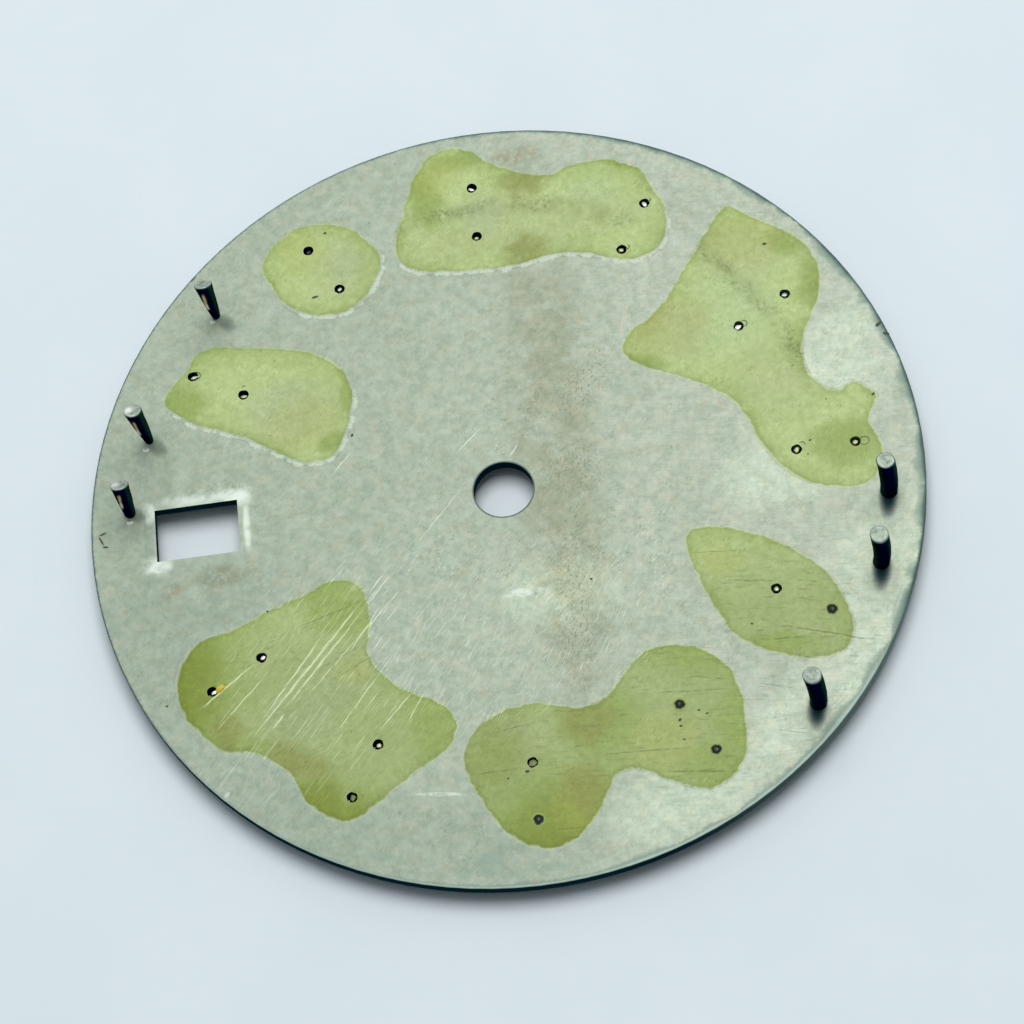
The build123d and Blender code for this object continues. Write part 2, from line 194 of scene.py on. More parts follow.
# Points round a film's opening, unevenness of its height as a share, and how far from an edge
# its raised rim falls off and its skin has come up
OPENING_SIDES = 22
FILM_WAVE = 0.15
FILM_RIM_FALL = 0.55
FILM_EDGE_RISE = 0.40
FILM_OPENING_RISE = 0.10
# Painted highlights on pale skins: the film, the way its edge faces, and the usual width.
# Step along the edge, then the rows of points: how far outside the edge, height and paleness
PAINTED_EDGE_HIGHLIGHTS = {
    "lacquer_01": ((0.55, -0.83), 0.13),
    "lacquer_02": ((0.45, -0.89), 0.15),
    "lacquer_11_12": ((0.20, -0.98), 0.13),
}
HIGHLIGHT_STEP = 0.06
HIGHLIGHT_ROWS = ((-0.10, 0.007, 0.3), (0.03, 0.009, 1.0))

# Finishes of the pin ends: material, colour, roughness and metallic share
PIN_FINISHES = {
    "bright": ("nickel_silver_snipped", "#F2F2E6", 0.30, 1.0),
    "grey": ("nickel_silver_dull", "#C5CDB8", 0.40, 1.0),
    "olive": ("nickel_silver_lacquered", "#C9D29A", 0.35, 0.6),
    "moss": ("nickel_silver_deep_lacquer", "#76854C", 0.40, 0.3),
    "dull": ("nickel_silver_blackened", "#3C5052", 0.45, 0.6),
}
# Ends of the marker pins, by hour and ring: offset from the pin's axis, half length, half
# width, turn in degrees and finish
PIN_TIPS = {
    (12, "inner"): (-0.012, -0.068, 0.092, 0.059, 0, "olive"),
    (12, "outer"): (-0.032, -0.044, 0.132, 0.066, -30, "bright"),
    (1, "inner"): (0.000, -0.008, 0.099, 0.079, 40, "grey"),
    (1, "outer"): (-0.016, -0.088, 0.066, 0.033, 0, "dull"),
    (2, "inner"): (0.012, -0.064, 0.119, 0.066, 0, "olive"),
    (2, "outer"): (0.040, -0.048, 0.145, 0.066, 15, "grey"),
    (4, "inner"): (0.048, -0.004, 0.112, 0.079, 40, "bright"),
    (4, "outer"): (0.068, -0.016, 0.132, 0.073, 35, "bright"),
    (5, "inner"): (0.028, -0.032, 0.092, 0.086, 0, "olive"),
    (5, "outer"): (0.024, -0.016, 0.092, 0.125, 0, "moss"),
    (6, "inner"): (0.012, -0.008, 0.139, 0.125, 20, "moss"),
    (8, "inner"): (0.000, -0.008, 0.092, 0.086, 0, "olive"),
    (9, "inner"): (0.004, -0.008, 0.092, 0.125, -20, "olive"),
    (9, "outer"): (-0.012, -0.024, 0.106, 0.086, 20, "olive"),
    (10, "inner"): (-0.020, -0.032, 0.125, 0.106, 20, "bright"),
    (10, "outer"): (-0.012, -0.028, 0.106, 0.092, 20, "grey"),
    (11, "inner"): (-0.020, -0.024, 0.106, 0.079, -20, "olive"),
    (11, "outer"): (-0.004, -0.024, 0.079, 0.139, 25, "bright"),
}

# Ridges of dried lacquer beside the pins: offset from the pin's axis, radius of the arc,
# and its first and last angle in degrees
LACQUER_RIDGES = {
    (2, "outer"): (0.110, 0.010, 0.155, -150, 110),
    (2, "inner"): (0.050, 0.300, 0.050, -20, 220),
    (9, "outer"): (0.300, -0.020, 0.165, -160, 150),
    (9, "inner"): (0.200, 0.150, 0.110, -40, 140),
    (10, "inner"): (0.170, 0.070, 0.130, -80, 110),
    (11, "inner"): (0.130, 0.100, 0.150, -90, 30),
    (11, "outer"): (0.120, 0.130, 0.110, -90, 40),
}
RIDGE_RADIUS = 0.016
RIDGE_STEPS = 24
# Drops over the filled pins: radius, height of the skirt, height above it and dent in the top
DROP_RADIUS = 0.25
DROP_BASE = 0.012
DROP_HEIGHT = 0.022
DROP_DENT = 0.008

# Crumbs of dark lacquer and grime on the back: centre, half length, half width, turn
GRIME_CRUMBS = [
    (9.96, 8.07, 0.085, 0.050, 0), (-5.90, 8.47, 0.13, 0.05, 10), (-5.35, 11.00, 0.06, 0.05, 0),
    (11.24, 1.73, 0.04, 0.03, 0), (12.84, 1.68, 0.07, 0.04, 30), (10.50, 0.27, 0.06, 0.03, 30),
    (10.36, -0.24, 0.04, 0.03, 0), (13.39, 4.32, 0.12, 0.06, 40), (13.61, 3.93, 0.11, 0.05, -20),
    (4.95, -9.20, 0.07, 0.05, 60), (4.95, -9.42, 0.06, 0.04, 0), (5.00, -9.90, 0.05, 0.03, 0),
    (5.60, -8.95, 0.05, 0.04, 0), (5.85, -9.10, 0.07, 0.03, 20), (-0.20, -10.30, 0.07, 0.05, 0),
    (-0.85, -10.45, 0.05, 0.03, 0), (7.70, -6.15, 0.05, 0.04, 0), (-5.0, 2.85, 0.06, 0.04, 60),
    (2.60, -3.75, 0.05, 0.03, 0), (-11.95, -6.3, 0.05, 0.03, 20), (-8.35, -3.35, 0.05, 0.03, 0),
    (-13.90, 0.12, 0.19, 0.030, -65), (-13.84, 0.37, 0.14, 0.028, 20),
    (-13.76, -0.13, 0.10, 0.035, -15),
]
RIM_RESIDUES = [(-10.14, 9.90, 0.38, 0.045, 43), (-9.0, 10.95, 0.09, 0.035, 40)]
AMBER_BEADS = [(-10.10, -5.92, 0.17, 0.12, 30), (-10.20, -5.99, 0.09, 0.08, 0)]
# Name, places, height as a share of the half width, height of the underside, and material:
# name, colour, deeper colour and roughness
LUMPS = [
    ("grime_crumbs", GRIME_CRUMBS, 0.6, 0.008, ("grime_dark", "#2A3222", "#56602F", 0.5)),
    ("rim_residue", RIM_RESIDUES, 0.5, -0.02, ("rim_residue", "#16281E", "#4E5C22", 0.4)),
    ("amber_bead", AMBER_BEADS, 0.45, 0.012, ("amber_bead", "#D6BE2A", "#9C8A1C", 0.35)),
]

# Worn form of each foot: share of the drawn height, offset of its end and of its base from
# the drawn place, bulge along X, width of its base as a share, radius of its cut end, slope of
# its cut, whether its side is scraped with a painted highlight, and whether its end has a painted
# highlight
FOOT_FORMS = {
    "08": (0.900, (0.00, 0.183), (0.06, 0.09), 0.00, 0.46, 0.30, 0.80, 1, 0),
    "12": (0.930, (-0.035, 0.127), (0.09, 0.06), 0.00, 0.46, 0.30, 0.45, 1, 1),
    "14": (0.850, (-0.04, 0.195), (-0.11, 0.09), 0.00, 0.60, 0.30, 0.80, 1, 1),
    "38": (0.965, (-0.045, 0.055), (0.09, 0.00), 0.05, 0.92, 0.31, 0.10, 0, 0),
    "42": (0.965, (-0.045, 0.075), (0.00, 0.11), 0.06, 0.90, 0.31, 0.00, 0, 0),
    "43": (0.965, (-0.055, 0.095), (0.03, 0.07), 0.05, 0.92, 0.29, 0.05, 0, 0),
}
# Turn of the scraped streak, which carries a painted highlight, low down and high up, then the
# wire: its radius, its round shoulder, the pit in its cut end, and the painted highlight on it
FOOT_STREAK_TURNS = (math.radians(238), math.radians(256))
FOOT_RADIUS = 0.315
FOOT_SHOULDER = 0.07
FOOT_PIT_DEPTH = 0.025
FOOT_PIT_PLACE = Vector((0.05, -0.02))
FOOT_PAINTED_GLINT_PLACE = Vector((-0.16, 0.03))
WELD_BEADS = [(-9.56, 8.07, 0.11, 0.09, 20), (-12.20, 3.38, 0.12, 0.09, 0),
              (-12.88, 0.68, 0.12, 0.09, 0)]

# Length of a fine stroke through the plate: so long that strokes don't change with height
STROKE_DEPTH = 1000.0

# Stage, in millimetres: the camera's place and what it looks at, half the width of the floor,
# and the way to the bright sky
CAMERA_PLACE = (7.032, -50.928, 102.414)
CAMERA_TARGET = (0.203, -0.891, 0.0)
FLOOR_HALF_WIDTH = 600.0
SKY_WAY = (-0.10, 0.85, 0.52)


def linear(hex_colour):
    """Linear RGBA of an sRGB hex colour."""
    shares = [int(hex_colour[i:i + 2], 16) / 255 for i in (1, 3, 5)]
    return (*(s / 12.92 if s <= 0.04045 else ((s + 0.055) / 1.055) ** 2.4 for s in shares), 1.0)


def colour_prop(name, description, hex_colour):
    """Colour that a user can change."""
    return FloatVectorProperty(name=name, description=description, subtype="COLOR", size=4,
                               min=0.0, max=1.0, default=linear(hex_colour))


def size_prop(name, description, millimetres):
    """Length that a user can change, given in millimetres."""
    return FloatProperty(name=name, description=description, unit="LENGTH", min=0.0,
                         precision=5, default=millimetres * MM)


class DialPlateSettings(bpy.types.PropertyGroup):
    """Colours and finish of the plate"""
    silver: colour_prop("Silver", "Worn silver plating of the back", "#A9B2A2")
    # Painted light: the back is painted paler towards the right, where more light falls
    silver_painted_light: colour_prop("Pale silver", "Freshly rubbed silver, to the right", "#C6CABC")
    tarnish: colour_prop("Tarnish", "Greener tarnish between the rubbed places", "#94A18F")
    # Painted shade: the walls of the cuts and of the rim are painted dark
    wall_painted_shade: colour_prop("Cut wall", "Walls of the cuts and of the rim", "#0A2C38")
    # Painted light: the rim wall at the right is painted lighter, where the light falls on it
    wall_painted_light: colour_prop("Lit wall", "Wall of the rim at the right, less stained", "#748C80")
    satin_roughness: FloatProperty(name="Satin roughness", description="Roughness of the back",
                                   subtype="FACTOR", min=0.0, max=1.0, default=0.72)


class DialLacquerSettings(bpy.types.PropertyGroup):
    """Colours and heights of the fixing lacquer"""
    thin: colour_prop("Thin lacquer", "Colour of the lacquer where it is thin", "#C4D494")
    thick: colour_prop("Thick lacquer", "Colour of the lacquer where it pooled", "#97AB55")
    deepest: colour_prop("Deepest lacquer", "Colour of the thickest pools", "#80901E")
    rim_height: size_prop("Rim height", "Height of the film just inside its edge", 0.022)
    middle_height: size_prop("Middle height", "Height of the film away from its edge", 0.014)
    edge_ripple: size_prop("Edge ripple", "How far the edge wanders from its outline", 0.045)
    grid_step: size_prop("Grid step", "Spacing of the film's mesh", 0.16)
    hole_radius: size_prop("Hole radius", "Usual radius of the opening round a pin", 0.185)


class DialMetalSettings(bpy.types.PropertyGroup):
    """Sizes and colours of the markers, their pins and the feet"""
    pin_end_inset: size_prop("Pin inset", "From a marker's end to the axis of its pin", 0.90)
    pin_depth: size_prop("Pin depth", "Depth of a pin's end below the back", 0.16)
    tip_rise: size_prop("Tip rise", "Height of a snipped pin end above the back", 0.01)
    # Painted shade: the feet's dark navy is partly oxide and partly painted shade
    oxide_and_painted_shade: colour_prop("Oxide and painted shade", "Dark skin of the feet", "#0A154A")
    # Scraped copper, which also carries a painted highlight along the streak
    copper: colour_prop("Copper", "Copper where the skin of a foot is scraped", "#F2C8A2")
    foot_end: colour_prop("Foot end", "Cut end of a foot", "#A4AE9F")
    marker: colour_prop("Marker", "Polished metal of the hour markers", "#D9DCDD")
    foot_sides: IntProperty(name="Foot sides", description="Sides round a foot", min=8, default=40)


class DialFaceSettings(bpy.types.PropertyGroup):
    """Colours of the face"""
    coat: colour_prop("Face coat", "Gloss lacquer of the face", "#101826")
    ink: colour_prop("Ink", "Printed minute track", "#E4E6E2")


class DialStageSettings(bpy.types.PropertyGroup):
    """Paper, light and camera"""
    floor: colour_prop("Floor", "Sheet of paper under the dial", "#E5EBF2")
    sky: colour_prop("Sky", "Colour of the soft sky", "#E8FAFC")
    key_tint: colour_prop("Key tint", "Colour of the key light", "#FEFEFB")
    bright_sky: FloatProperty(name="Bright sky", description="Sky beyond the dial", min=0.0,
                              default=0.74)
    dim_sky: FloatProperty(name="Dim sky", description="Sky on the camera's side", min=0.0,
                           default=0.15)
    key_share: FloatProperty(name="Key share", description="Light on a level sheet from the key",
                             min=0.0, default=0.66)
    key_elevation: FloatProperty(name="Key elevation", description="Height of the key light",
                                 subtype="ANGLE", default=math.radians(71))
    key_azimuth: FloatProperty(name="Key azimuth", description="Turn of the key from 12 o'clock",
                               subtype="ANGLE", default=math.radians(12))
    key_distance: FloatProperty(name="Key distance", description="From the dial to the key",
                                unit="LENGTH", default=0.30)
    key_width: FloatProperty(name="Key width", description="Width of the key light",
                             unit="LENGTH", default=0.22)
    lens: FloatProperty(name="Lens", description="Focal length in millimetres", default=118.70)
    camera_roll: FloatProperty(name="Camera roll", description="Turn of the camera on its axis",
                               subtype="ANGLE", default=math.radians(-14.76))


SETTINGS = {
    "dial_plate": DialPlateSettings,
    "dial_lacquer": DialLacquerSettings,
    "dial_metal": DialMetalSettings,
    "dial_face": DialFaceSettings,
    "dial_stage": DialStageSettings,
}


# Nodes and materials

def add(tree, kind, inputs=(), **settings):
    """Add a node with its settings, and set or link its inputs, given by name or by place."""
    made = tree.nodes.new("ShaderNode" + kind)
    for name, value in settings.items():
        setattr(made, name, value)
    for key, value in dict(inputs).items():
        if isinstance(value, bpy.types.Node):
            value = next(socket for socket in value.outputs if socket.enabled)
        if isinstance(value, bpy.types.NodeSocket):
            tree.links.new(value, made.inputs[key])
        else:
            made.inputs[key].default_value = value
    return made


def new_material(name):
    """Material, its node tree, and object coordinates, which are the dial's own frame, in
    millimetres."""
    material = bpy.data.materials.new(name)
    material.use_nodes = True
    tree = material.node_tree
    tree.nodes.clear()
    place = add(tree, "TexCoord").outputs["Object"]
    return material, tree, add(tree, "VectorMath", {0: place, "Scale": 1 / MM}, operation="SCALE")


def finish_material(tree, inputs, height, bump_mm):
    """Close a material: one principled shader, with a bump of a real height in millimetres."""
    bump = add(tree, "Bump", {"Height": height, "Distance": bump_mm * MM, "Strength": 1.0})
    shader = add(tree, "BsdfPrincipled", {**inputs, "Normal": bump})
    add(tree, "OutputMaterial", {"Surface": shader})


def spots(tree, coords, places, edge=0.0):
    """Mask of soft ellipses on the back. A spot is full inside the edge share of its size."""
    nearest = None
    for x, y, half_length, half_width, turn in places:
        cos, sin = math.cos(math.radians(turn)), math.sin(math.radians(turn))
        offset = add(tree, "VectorMath", {0: coords, 1: (x, y, 0)}, operation="SUBTRACT")
        along = add(tree, "VectorMath", {
            0: offset, 1: (cos / half_length, sin / half_length, 0)}, operation="DOT_PRODUCT")
        across = add(tree, "VectorMath", {
            0: offset, 1: (-sin / half_width, cos / half_width, 0)}, operation="DOT_PRODUCT")
        reach = add(tree, "Math", {0: along, 1: along}, operation="MULTIPLY")
        reach = add(tree, "Math", {0: across, 1: across, 2: reach}, operation="MULTIPLY_ADD")
        nearest = reach if nearest is None else add(
            tree, "Math", {0: nearest, 1: reach}, operation="MINIMUM")
    return add(tree, "MapRange", {"Value": nearest, "From Min": 1.0, "From Max": edge}, **SOFT)


def wander(tree, coords, size, reach):
    """Coordinates pushed about by noise of a usual size, so that what is drawn on them gets an
    uneven outline."""
    push = add(tree, "TexNoise", {"Vector": coords, "Scale": 1 / size, "Detail": 3.0})
    push = add(tree, "VectorMath", {0: push.outputs["Color"], 1: (0.5, 0.5, 0.5)},
               operation="SUBTRACT")
    return add(tree, "VectorMath", {0: push, 1: (2 * reach, 2 * reach, 0), 2: coords},
               operation="MULTIPLY_ADD")


def lines(tree, coords, ends):
    """Mask of straight scratches that taper to both ends. Each is drawn 1.4 times as wide as it
    is given, because its sides fade."""
    places = []
    for x1, y1, x2, y2, width in ends:
        run = Vector((x2 - x1, y2 - y1))
        turn = math.degrees(math.atan2(run.y, run.x))
        places.append(((x1 + x2) / 2, (y1 + y2) / 2, run.length / 2, width / 2 * 1.4, turn))
    return spots(tree, coords, places, 0.35)


def strokes(tree, coords, turn, length, width, first, full):
    """Mask of many fine strokes at one angle, of a usual length and width. The noise levels
    at which a stroke starts and is full say how much of the surface they cover."""
    local = add(tree, "Mapping", {
        "Vector": coords, "Rotation": (0, 0, math.radians(turn)),
        "Scale": (length, width, STROKE_DEPTH)}, vector_type="TEXTURE")
    grain = add(tree, "TexNoise", {"Vector": local, "Scale": 1.0, "Detail": 2.0, "Roughness": 0.6})
    return add(tree, "MapRange", {"Value": grain, "From Min": first, "From Max": full}, **SOFT)


def cloud(tree, coords, size, first, full, detail=3.0):
    """Mask of patches of noise of a usual size, between two noise levels."""
    grain = add(tree, "TexNoise", {"Vector": coords, "Scale": 1 / size,
                                   "Detail": detail, "Roughness": 0.6})
    return add(tree, "MapRange", {"Value": grain, "From Min": first, "From Max": full}, **SOFT)


def product(tree, *masks):
    """Masks multiplied together."""
    total = masks[0]
    for mask in masks[1:]:
        total = add(tree, "Math", {0: total, 1: mask}, operation="MULTIPLY")
    return total


def strongest(tree, *masks):
    """Highest of some masks."""
    total = masks[0]
    for mask in masks[1:]:
        total = add(tree, "Math", {0: total, 1: mask}, operation="MAXIMUM")
    return total


def paint(tree, base, layers):
    """Lay colours over a base, one after another: each is a colour, its mask, and how much
    of what lies under it the colour covers at most. A tone, which is three numbers, multiplies
    what lies under it instead."""
    colour = base
    for over, mask, cover in layers:
        share = add(tree, "Math", {0: mask, 1: cover}, operation="MULTIPLY")
        is_tone = isinstance(over, tuple)
        over = linear(over) if isinstance(over, str) else (*over, 1.0) if is_tone else over
        colour = add(tree, "Mix", {0: share, 6: colour, 7: over}, data_type="RGBA",
                     blend_type="MULTIPLY" if is_tone else "MIX")
    return colour


def distance_from_centre(tree, coords):
    """Distance of a point from the axis of the centre hole, in millimetres."""
    flat = add(tree, "VectorMath", {0: coords, 1: (1, 1, 0)}, operation="MULTIPLY")
    return add(tree, "VectorMath", {0: flat}, operation="LENGTH")


def rubbed_ring(tree, coords):
    """Mask of the ring that the movement has rubbed into the back, a little off the round."""
    wobble = add(tree, "TexNoise", {"Vector": coords, "Scale": 1 / 3.0, "Detail": 4.0})
    shift = add(tree, "Math", {0: wobble, 1: -0.5}, operation="ADD")
    radius = add(tree, "Math", {0: shift, 1: 0.6, 2: distance_from_centre(tree, coords)},
                 operation="MULTIPLY_ADD")
    off = add(tree, "Math", {0: radius, 1: RUBBED_RING_RADIUS}, operation="SUBTRACT")
    off = add(tree, "Math", {0: off}, operation="ABSOLUTE")
    return add(tree, "MapRange", {"Value": off, "From Min": RUBBED_RING_WIDTH, "From Max": 0.0},
               **SOFT)


def wear_marks(tree, coords):
    """Masks of the marks that run over plate and lacquer alike. Real scratches of a brush are
    about 0.02 mm wide, too fine to show, so each stroke is drawn two to five times as wide."""
    lower_left = spots(tree, coords, SCRATCHED_LEFT_SPOTS, 0.3)
    middle = spots(tree, coords, SCRATCHED_MIDDLE_SPOTS, 0.2)
    lower_right = spots(tree, coords, SCRATCHED_RIGHT_SPOTS, 0.3)
    shaky = wander(tree, coords, 0.5, 0.05)
    broken = strokes(tree, coords, 50, 0.50, 0.035, 0.30, 0.56)
    clusters = cloud(tree, coords, 0.9, 0.38, 0.64, 4.0)
    pale = strongest(
        tree,
        product(tree, lines(tree, shaky, PALE_LINES), broken),
        product(tree, strokes(tree, coords, 50, 1.6, 0.045, 0.58, 0.76), lower_left),
        product(tree, strokes(tree, coords, 62, 0.9, 0.040, 0.58, 0.78), middle),
        product(tree, strokes(tree, coords, 38, 0.7, 0.040, 0.60, 0.80), middle),
    )
    dark = strongest(
        tree,
        product(tree, lines(tree, shaky, DARK_LINES), cloud(tree, coords, 0.3, 0.30, 0.55)),
        product(tree, strokes(tree, shaky, -6, 0.7, 0.110, 0.54, 0.80), lower_right),
        product(tree, strokes(tree, coords, 20, 0.7, 0.045, 0.58, 0.74), lower_left),
    )
    return {
        "pale": pale,
        "dark": dark,
        "ring": rubbed_ring(tree, coords),
        "flecks_pale": product(tree, strokes(tree, coords, 56, 0.24, 0.055, 0.52, 0.74), clusters),
        "flecks_dark": product(tree, strokes(tree, coords, 42, 0.17, 0.065, 0.54, 0.76), clusters),
        "brown": product(tree, spots(tree, coords, BROWN_BAND, 0.1),
                         cloud(tree, coords, 1.4, 0.30, 0.58)),
    }


def window_border(tree, coords, place):
    """Mask of the bright wear and painted highlight on the raised border of the date window:
    heavy along its upper side and at two corners, patchy elsewhere."""
    middle, half = (WINDOW_LOW + WINDOW_HIGH) / 2, (WINDOW_HIGH - WINDOW_LOW) / 2
    over = []
    for axis, centre, reach in zip("XY", middle, half):
        off = add(tree, "Math", {0: place.outputs[axis], 1: centre}, operation="SUBTRACT")
        off = add(tree, "Math", {0: off}, operation="ABSOLUTE")
        over.append(add(tree, "Math", {0: off, 1: reach}, operation="SUBTRACT"))
    off = strongest(tree, *over)
    ragged = cloud(tree, coords, 0.45, 0.25, 0.75)
    off = add(tree, "Math", {0: ragged, 1: 0.30, 2: off}, operation="MULTIPLY_ADD")
    near = add(tree, "MapRange", {"Value": off, "From Min": 0.80, "From Max": 0.22}, **SOFT)
    heavy = spots(tree, coords, WINDOW_WEAR_AND_HIGHLIGHT_SPOTS)
    share = add(tree, "Math", {0: heavy, 1: 0.72, 2: 0.06}, operation="MULTIPLY_ADD")
    return product(tree, near, share)


def worn_rim(tree, coords, to_right):
    """Masks of the rim's worn band, wide at the right, and of the thin dark line all round."""
    off = add(tree, "Math", {0: PLATE_RADIUS, 1: distance_from_centre(tree, coords)},
              operation="SUBTRACT")
    wide = product(tree, cloud(tree, coords, 1.3, 0.25, 0.75), to_right)
    wide = add(tree, "Math", {0: wide, 1: 0.42, 2: 0.05}, operation="MULTIPLY_ADD")
    rough = cloud(tree, coords, 0.16, 0.2, 0.8)
    rough = add(tree, "Math", {0: rough, 1: 0.10, 2: wide}, operation="MULTIPLY_ADD")
    share = add(tree, "Math", {0: off, 1: rough}, operation="DIVIDE")
    band = add(tree, "MapRange", {"Value": share, "From Min": 1.05, "From Max": 0.35}, **SOFT)
    line_share = add(tree, "Math", {0: rough, 1: 0.35, 2: 0.03}, operation="MULTIPLY_ADD")
    line_share = add(tree, "Math", {0: off, 1: line_share}, operation="DIVIDE")
    line = add(tree, "MapRange", {"Value": line_share, "From Min": 1.1, "From Max": 0.2}, **SOFT)
    return band, line


def silver_ground(tree, coords, place, settings):
    """Colour of the worn plating without its marks, with painted light making it paler to the
    right, how far to the right a point is, and the grain. The real grain is about 0.02 mm, too
    fine to show, so it is drawn at 0.2 mm."""
    to_right = add(tree, "MapRange", {"Value": place.outputs["X"], "From Min": -9.0,
                                      "From Max": 12.5}, **SOFT)
    grain = cloud(tree, coords, 0.20, 0.30, 0.70, 4.0)
    blotches = cloud(tree, coords, 0.45, 0.36, 0.64, 5.0)
    warm = cloud(tree, coords, 0.50, 0.46, 0.66, 5.0)
    colour = paint(tree, settings.silver, [
        # Painted light: paler towards the right
        (settings.silver_painted_light, to_right, 0.44),
        (settings.tarnish, cloud(tree, coords, 2.2, 0.32, 0.68, 5.0), 0.25),
        ((0.86, 0.88, 0.86), blotches, 1.0),
        ((1.06, 1.00, 0.97), warm, 1.0),
        ((0.88, 0.89, 0.89), grain, 1.0),
    ])
    return colour, to_right, grain


def silvered_brass(settings):
    """Brass blank, silver plated and scratch brushed, tarnished and rubbed in use: a soft
    grey-green satin with pale scratches, painted shade on the sheared walls of its cuts
    and rim, and painted light on the rim wall at the right."""
    material, tree, coords = new_material("silvered_brass_worn")
    marks = wear_marks(tree, coords)
    place = add(tree, "SeparateXYZ", {0: coords})
    ground, to_right, grain = silver_ground(tree, coords, place, settings)
    rim_band, rim_line = worn_rim(tree, coords, to_right)

    # Sheared walls are painted dark as painted shade, and the rim wall at the right is painted
    # lighter as painted light
    normal = add(tree, "TexCoord").outputs["Normal"]
    facing = add(tree, "SeparateXYZ", {0: normal}).outputs["Z"]
    facing = add(tree, "Math", {0: facing}, operation="ABSOLUTE")
    wall = add(tree, "MapRange", {"Value": facing, "From Min": 0.60, "From Max": 0.20}, **SOFT)

    lower = add(tree, "MapRange", {"Value": place.outputs["Y"], "From Min": -5.0,
                                   "From Max": -10.0}, **SOFT)
    upper = add(tree, "Math", {0: 1.0, 1: lower}, operation="SUBTRACT")
    # Painted shade: a thin dark line round the edge of the centre hole
    hole_edge_shade = add(tree, "MapRange", {"Value": distance_from_centre(tree, coords),
                                       "From Min": HOLE_EDGE_SHADE_RADII[0],
                                       "From Max": HOLE_EDGE_SHADE_RADII[1]})
    # Painted light on the rim wall towards the right
    lit = add(tree, "MapRange", {"Value": place.outputs["X"], "From Min": 4.0,
                                 "From Max": 12.5}, **SOFT)

    uneven = wander(tree, coords, 1.2, 0.45)
    tan_flecks = strokes(tree, coords, 80, 0.12, 0.07, 0.52, 0.66)
    flecked = spots(tree, coords, FLECKED_SPOTS, 0.2)
    more_flecks = add(tree, "Math", {0: flecked, 1: 0.5, 2: 0.5}, operation="MULTIPLY_ADD")
    colour = paint(tree, ground, [
        ((1.19, 1.20, 1.19), spots(tree, uneven, BRIGHT_PLATE_SPOTS), 1.0),
        ((0.82, 0.85, 0.86), spots(tree, uneven, SHADED_RIM_SPOTS), 1.0),
        ((0.90, 0.915, 0.92), spots(tree, uneven, DULL_PLATE_SPOTS), 1.0),
        ((1.42, 1.40, 1.42), product(tree, marks["flecks_pale"], more_flecks), 1.0),
        ((0.48, 0.52, 0.52), product(tree, marks["flecks_dark"], more_flecks), 1.0),
        ((0.84, 0.82, 0.75), marks["brown"], 1.0),
        ((0.62, 0.56, 0.44), product(tree, tan_flecks, spots(tree, uneven, TAN_FLECK_SPOTS)), 0.8),
        ("#D3D8CC", product(tree, marks["ring"], cloud(tree, coords, 0.9, 0.42, 0.66)), 0.20),
        ("#76866F", product(tree, marks["dark"], to_right), 0.50),
        ((0.92, 0.93, 0.92), product(tree, strokes(tree, coords, -5, 1.0, 0.07, 0.46, 0.70),
                                     to_right), 1.0),
        ((0.86, 0.80, 0.70), product(tree, spots(tree, uneven, BROWN_SMEARS),
                                     cloud(tree, coords, 0.25, 0.35, 0.60)), 1.0),
        ("#7F9688", spots(tree, uneven, GREEN_STAINS), 0.35),
        # Painted shadows of the feet
        ("#07323A", spots(tree, coords, FOOT_PAINTED_SHADOWS), 0.98),
        ((0.60, 0.63, 0.62), spots(tree, coords, FAINT_FOOT_PAINTED_SHADOWS), 1.0),
        ("#E9EEE4", marks["pale"], 0.48),
        ("#E3E8E2", product(tree, spots(tree, coords, WHITE_SMEARS, 0.2),
                            cloud(tree, coords, 0.28, 0.34, 0.60)), 0.40),
        # Bright wear and a painted highlight on the window's raised border, heaviest along its
        # upper side
        ("#D3DBD1", window_border(tree, coords, place), 0.95),
        ("#2A4448", hole_edge_shade, 0.75),
        ("#6F857A", rim_band, 0.70),
        ("#34504C", product(tree, rim_line, upper), 0.80),
        # Painted highlight: a pale line along the rounded edge of the rim on the lower side
        ("#D6E2D8", product(tree, rim_line, lower), 0.35),
        # Painted shade on all walls, then painted light on the rim wall at the right
        (settings.wall_painted_shade, wall, 1.0),
        (settings.wall_painted_light, product(tree, wall, lit), 1.0),
    ])
    metallic = add(tree, "Math", {0: 1.0, 1: wall}, operation="SUBTRACT")
    sheen = add(tree, "Math", {0: metallic, 1: 0.5}, operation="MULTIPLY")
    finish_material(tree, {
        "Base Color": colour, "Metallic": metallic, "Roughness": settings.satin_roughness,
        "Specular IOR Level": sheen,
    }, grain, 0.0030)
    return material


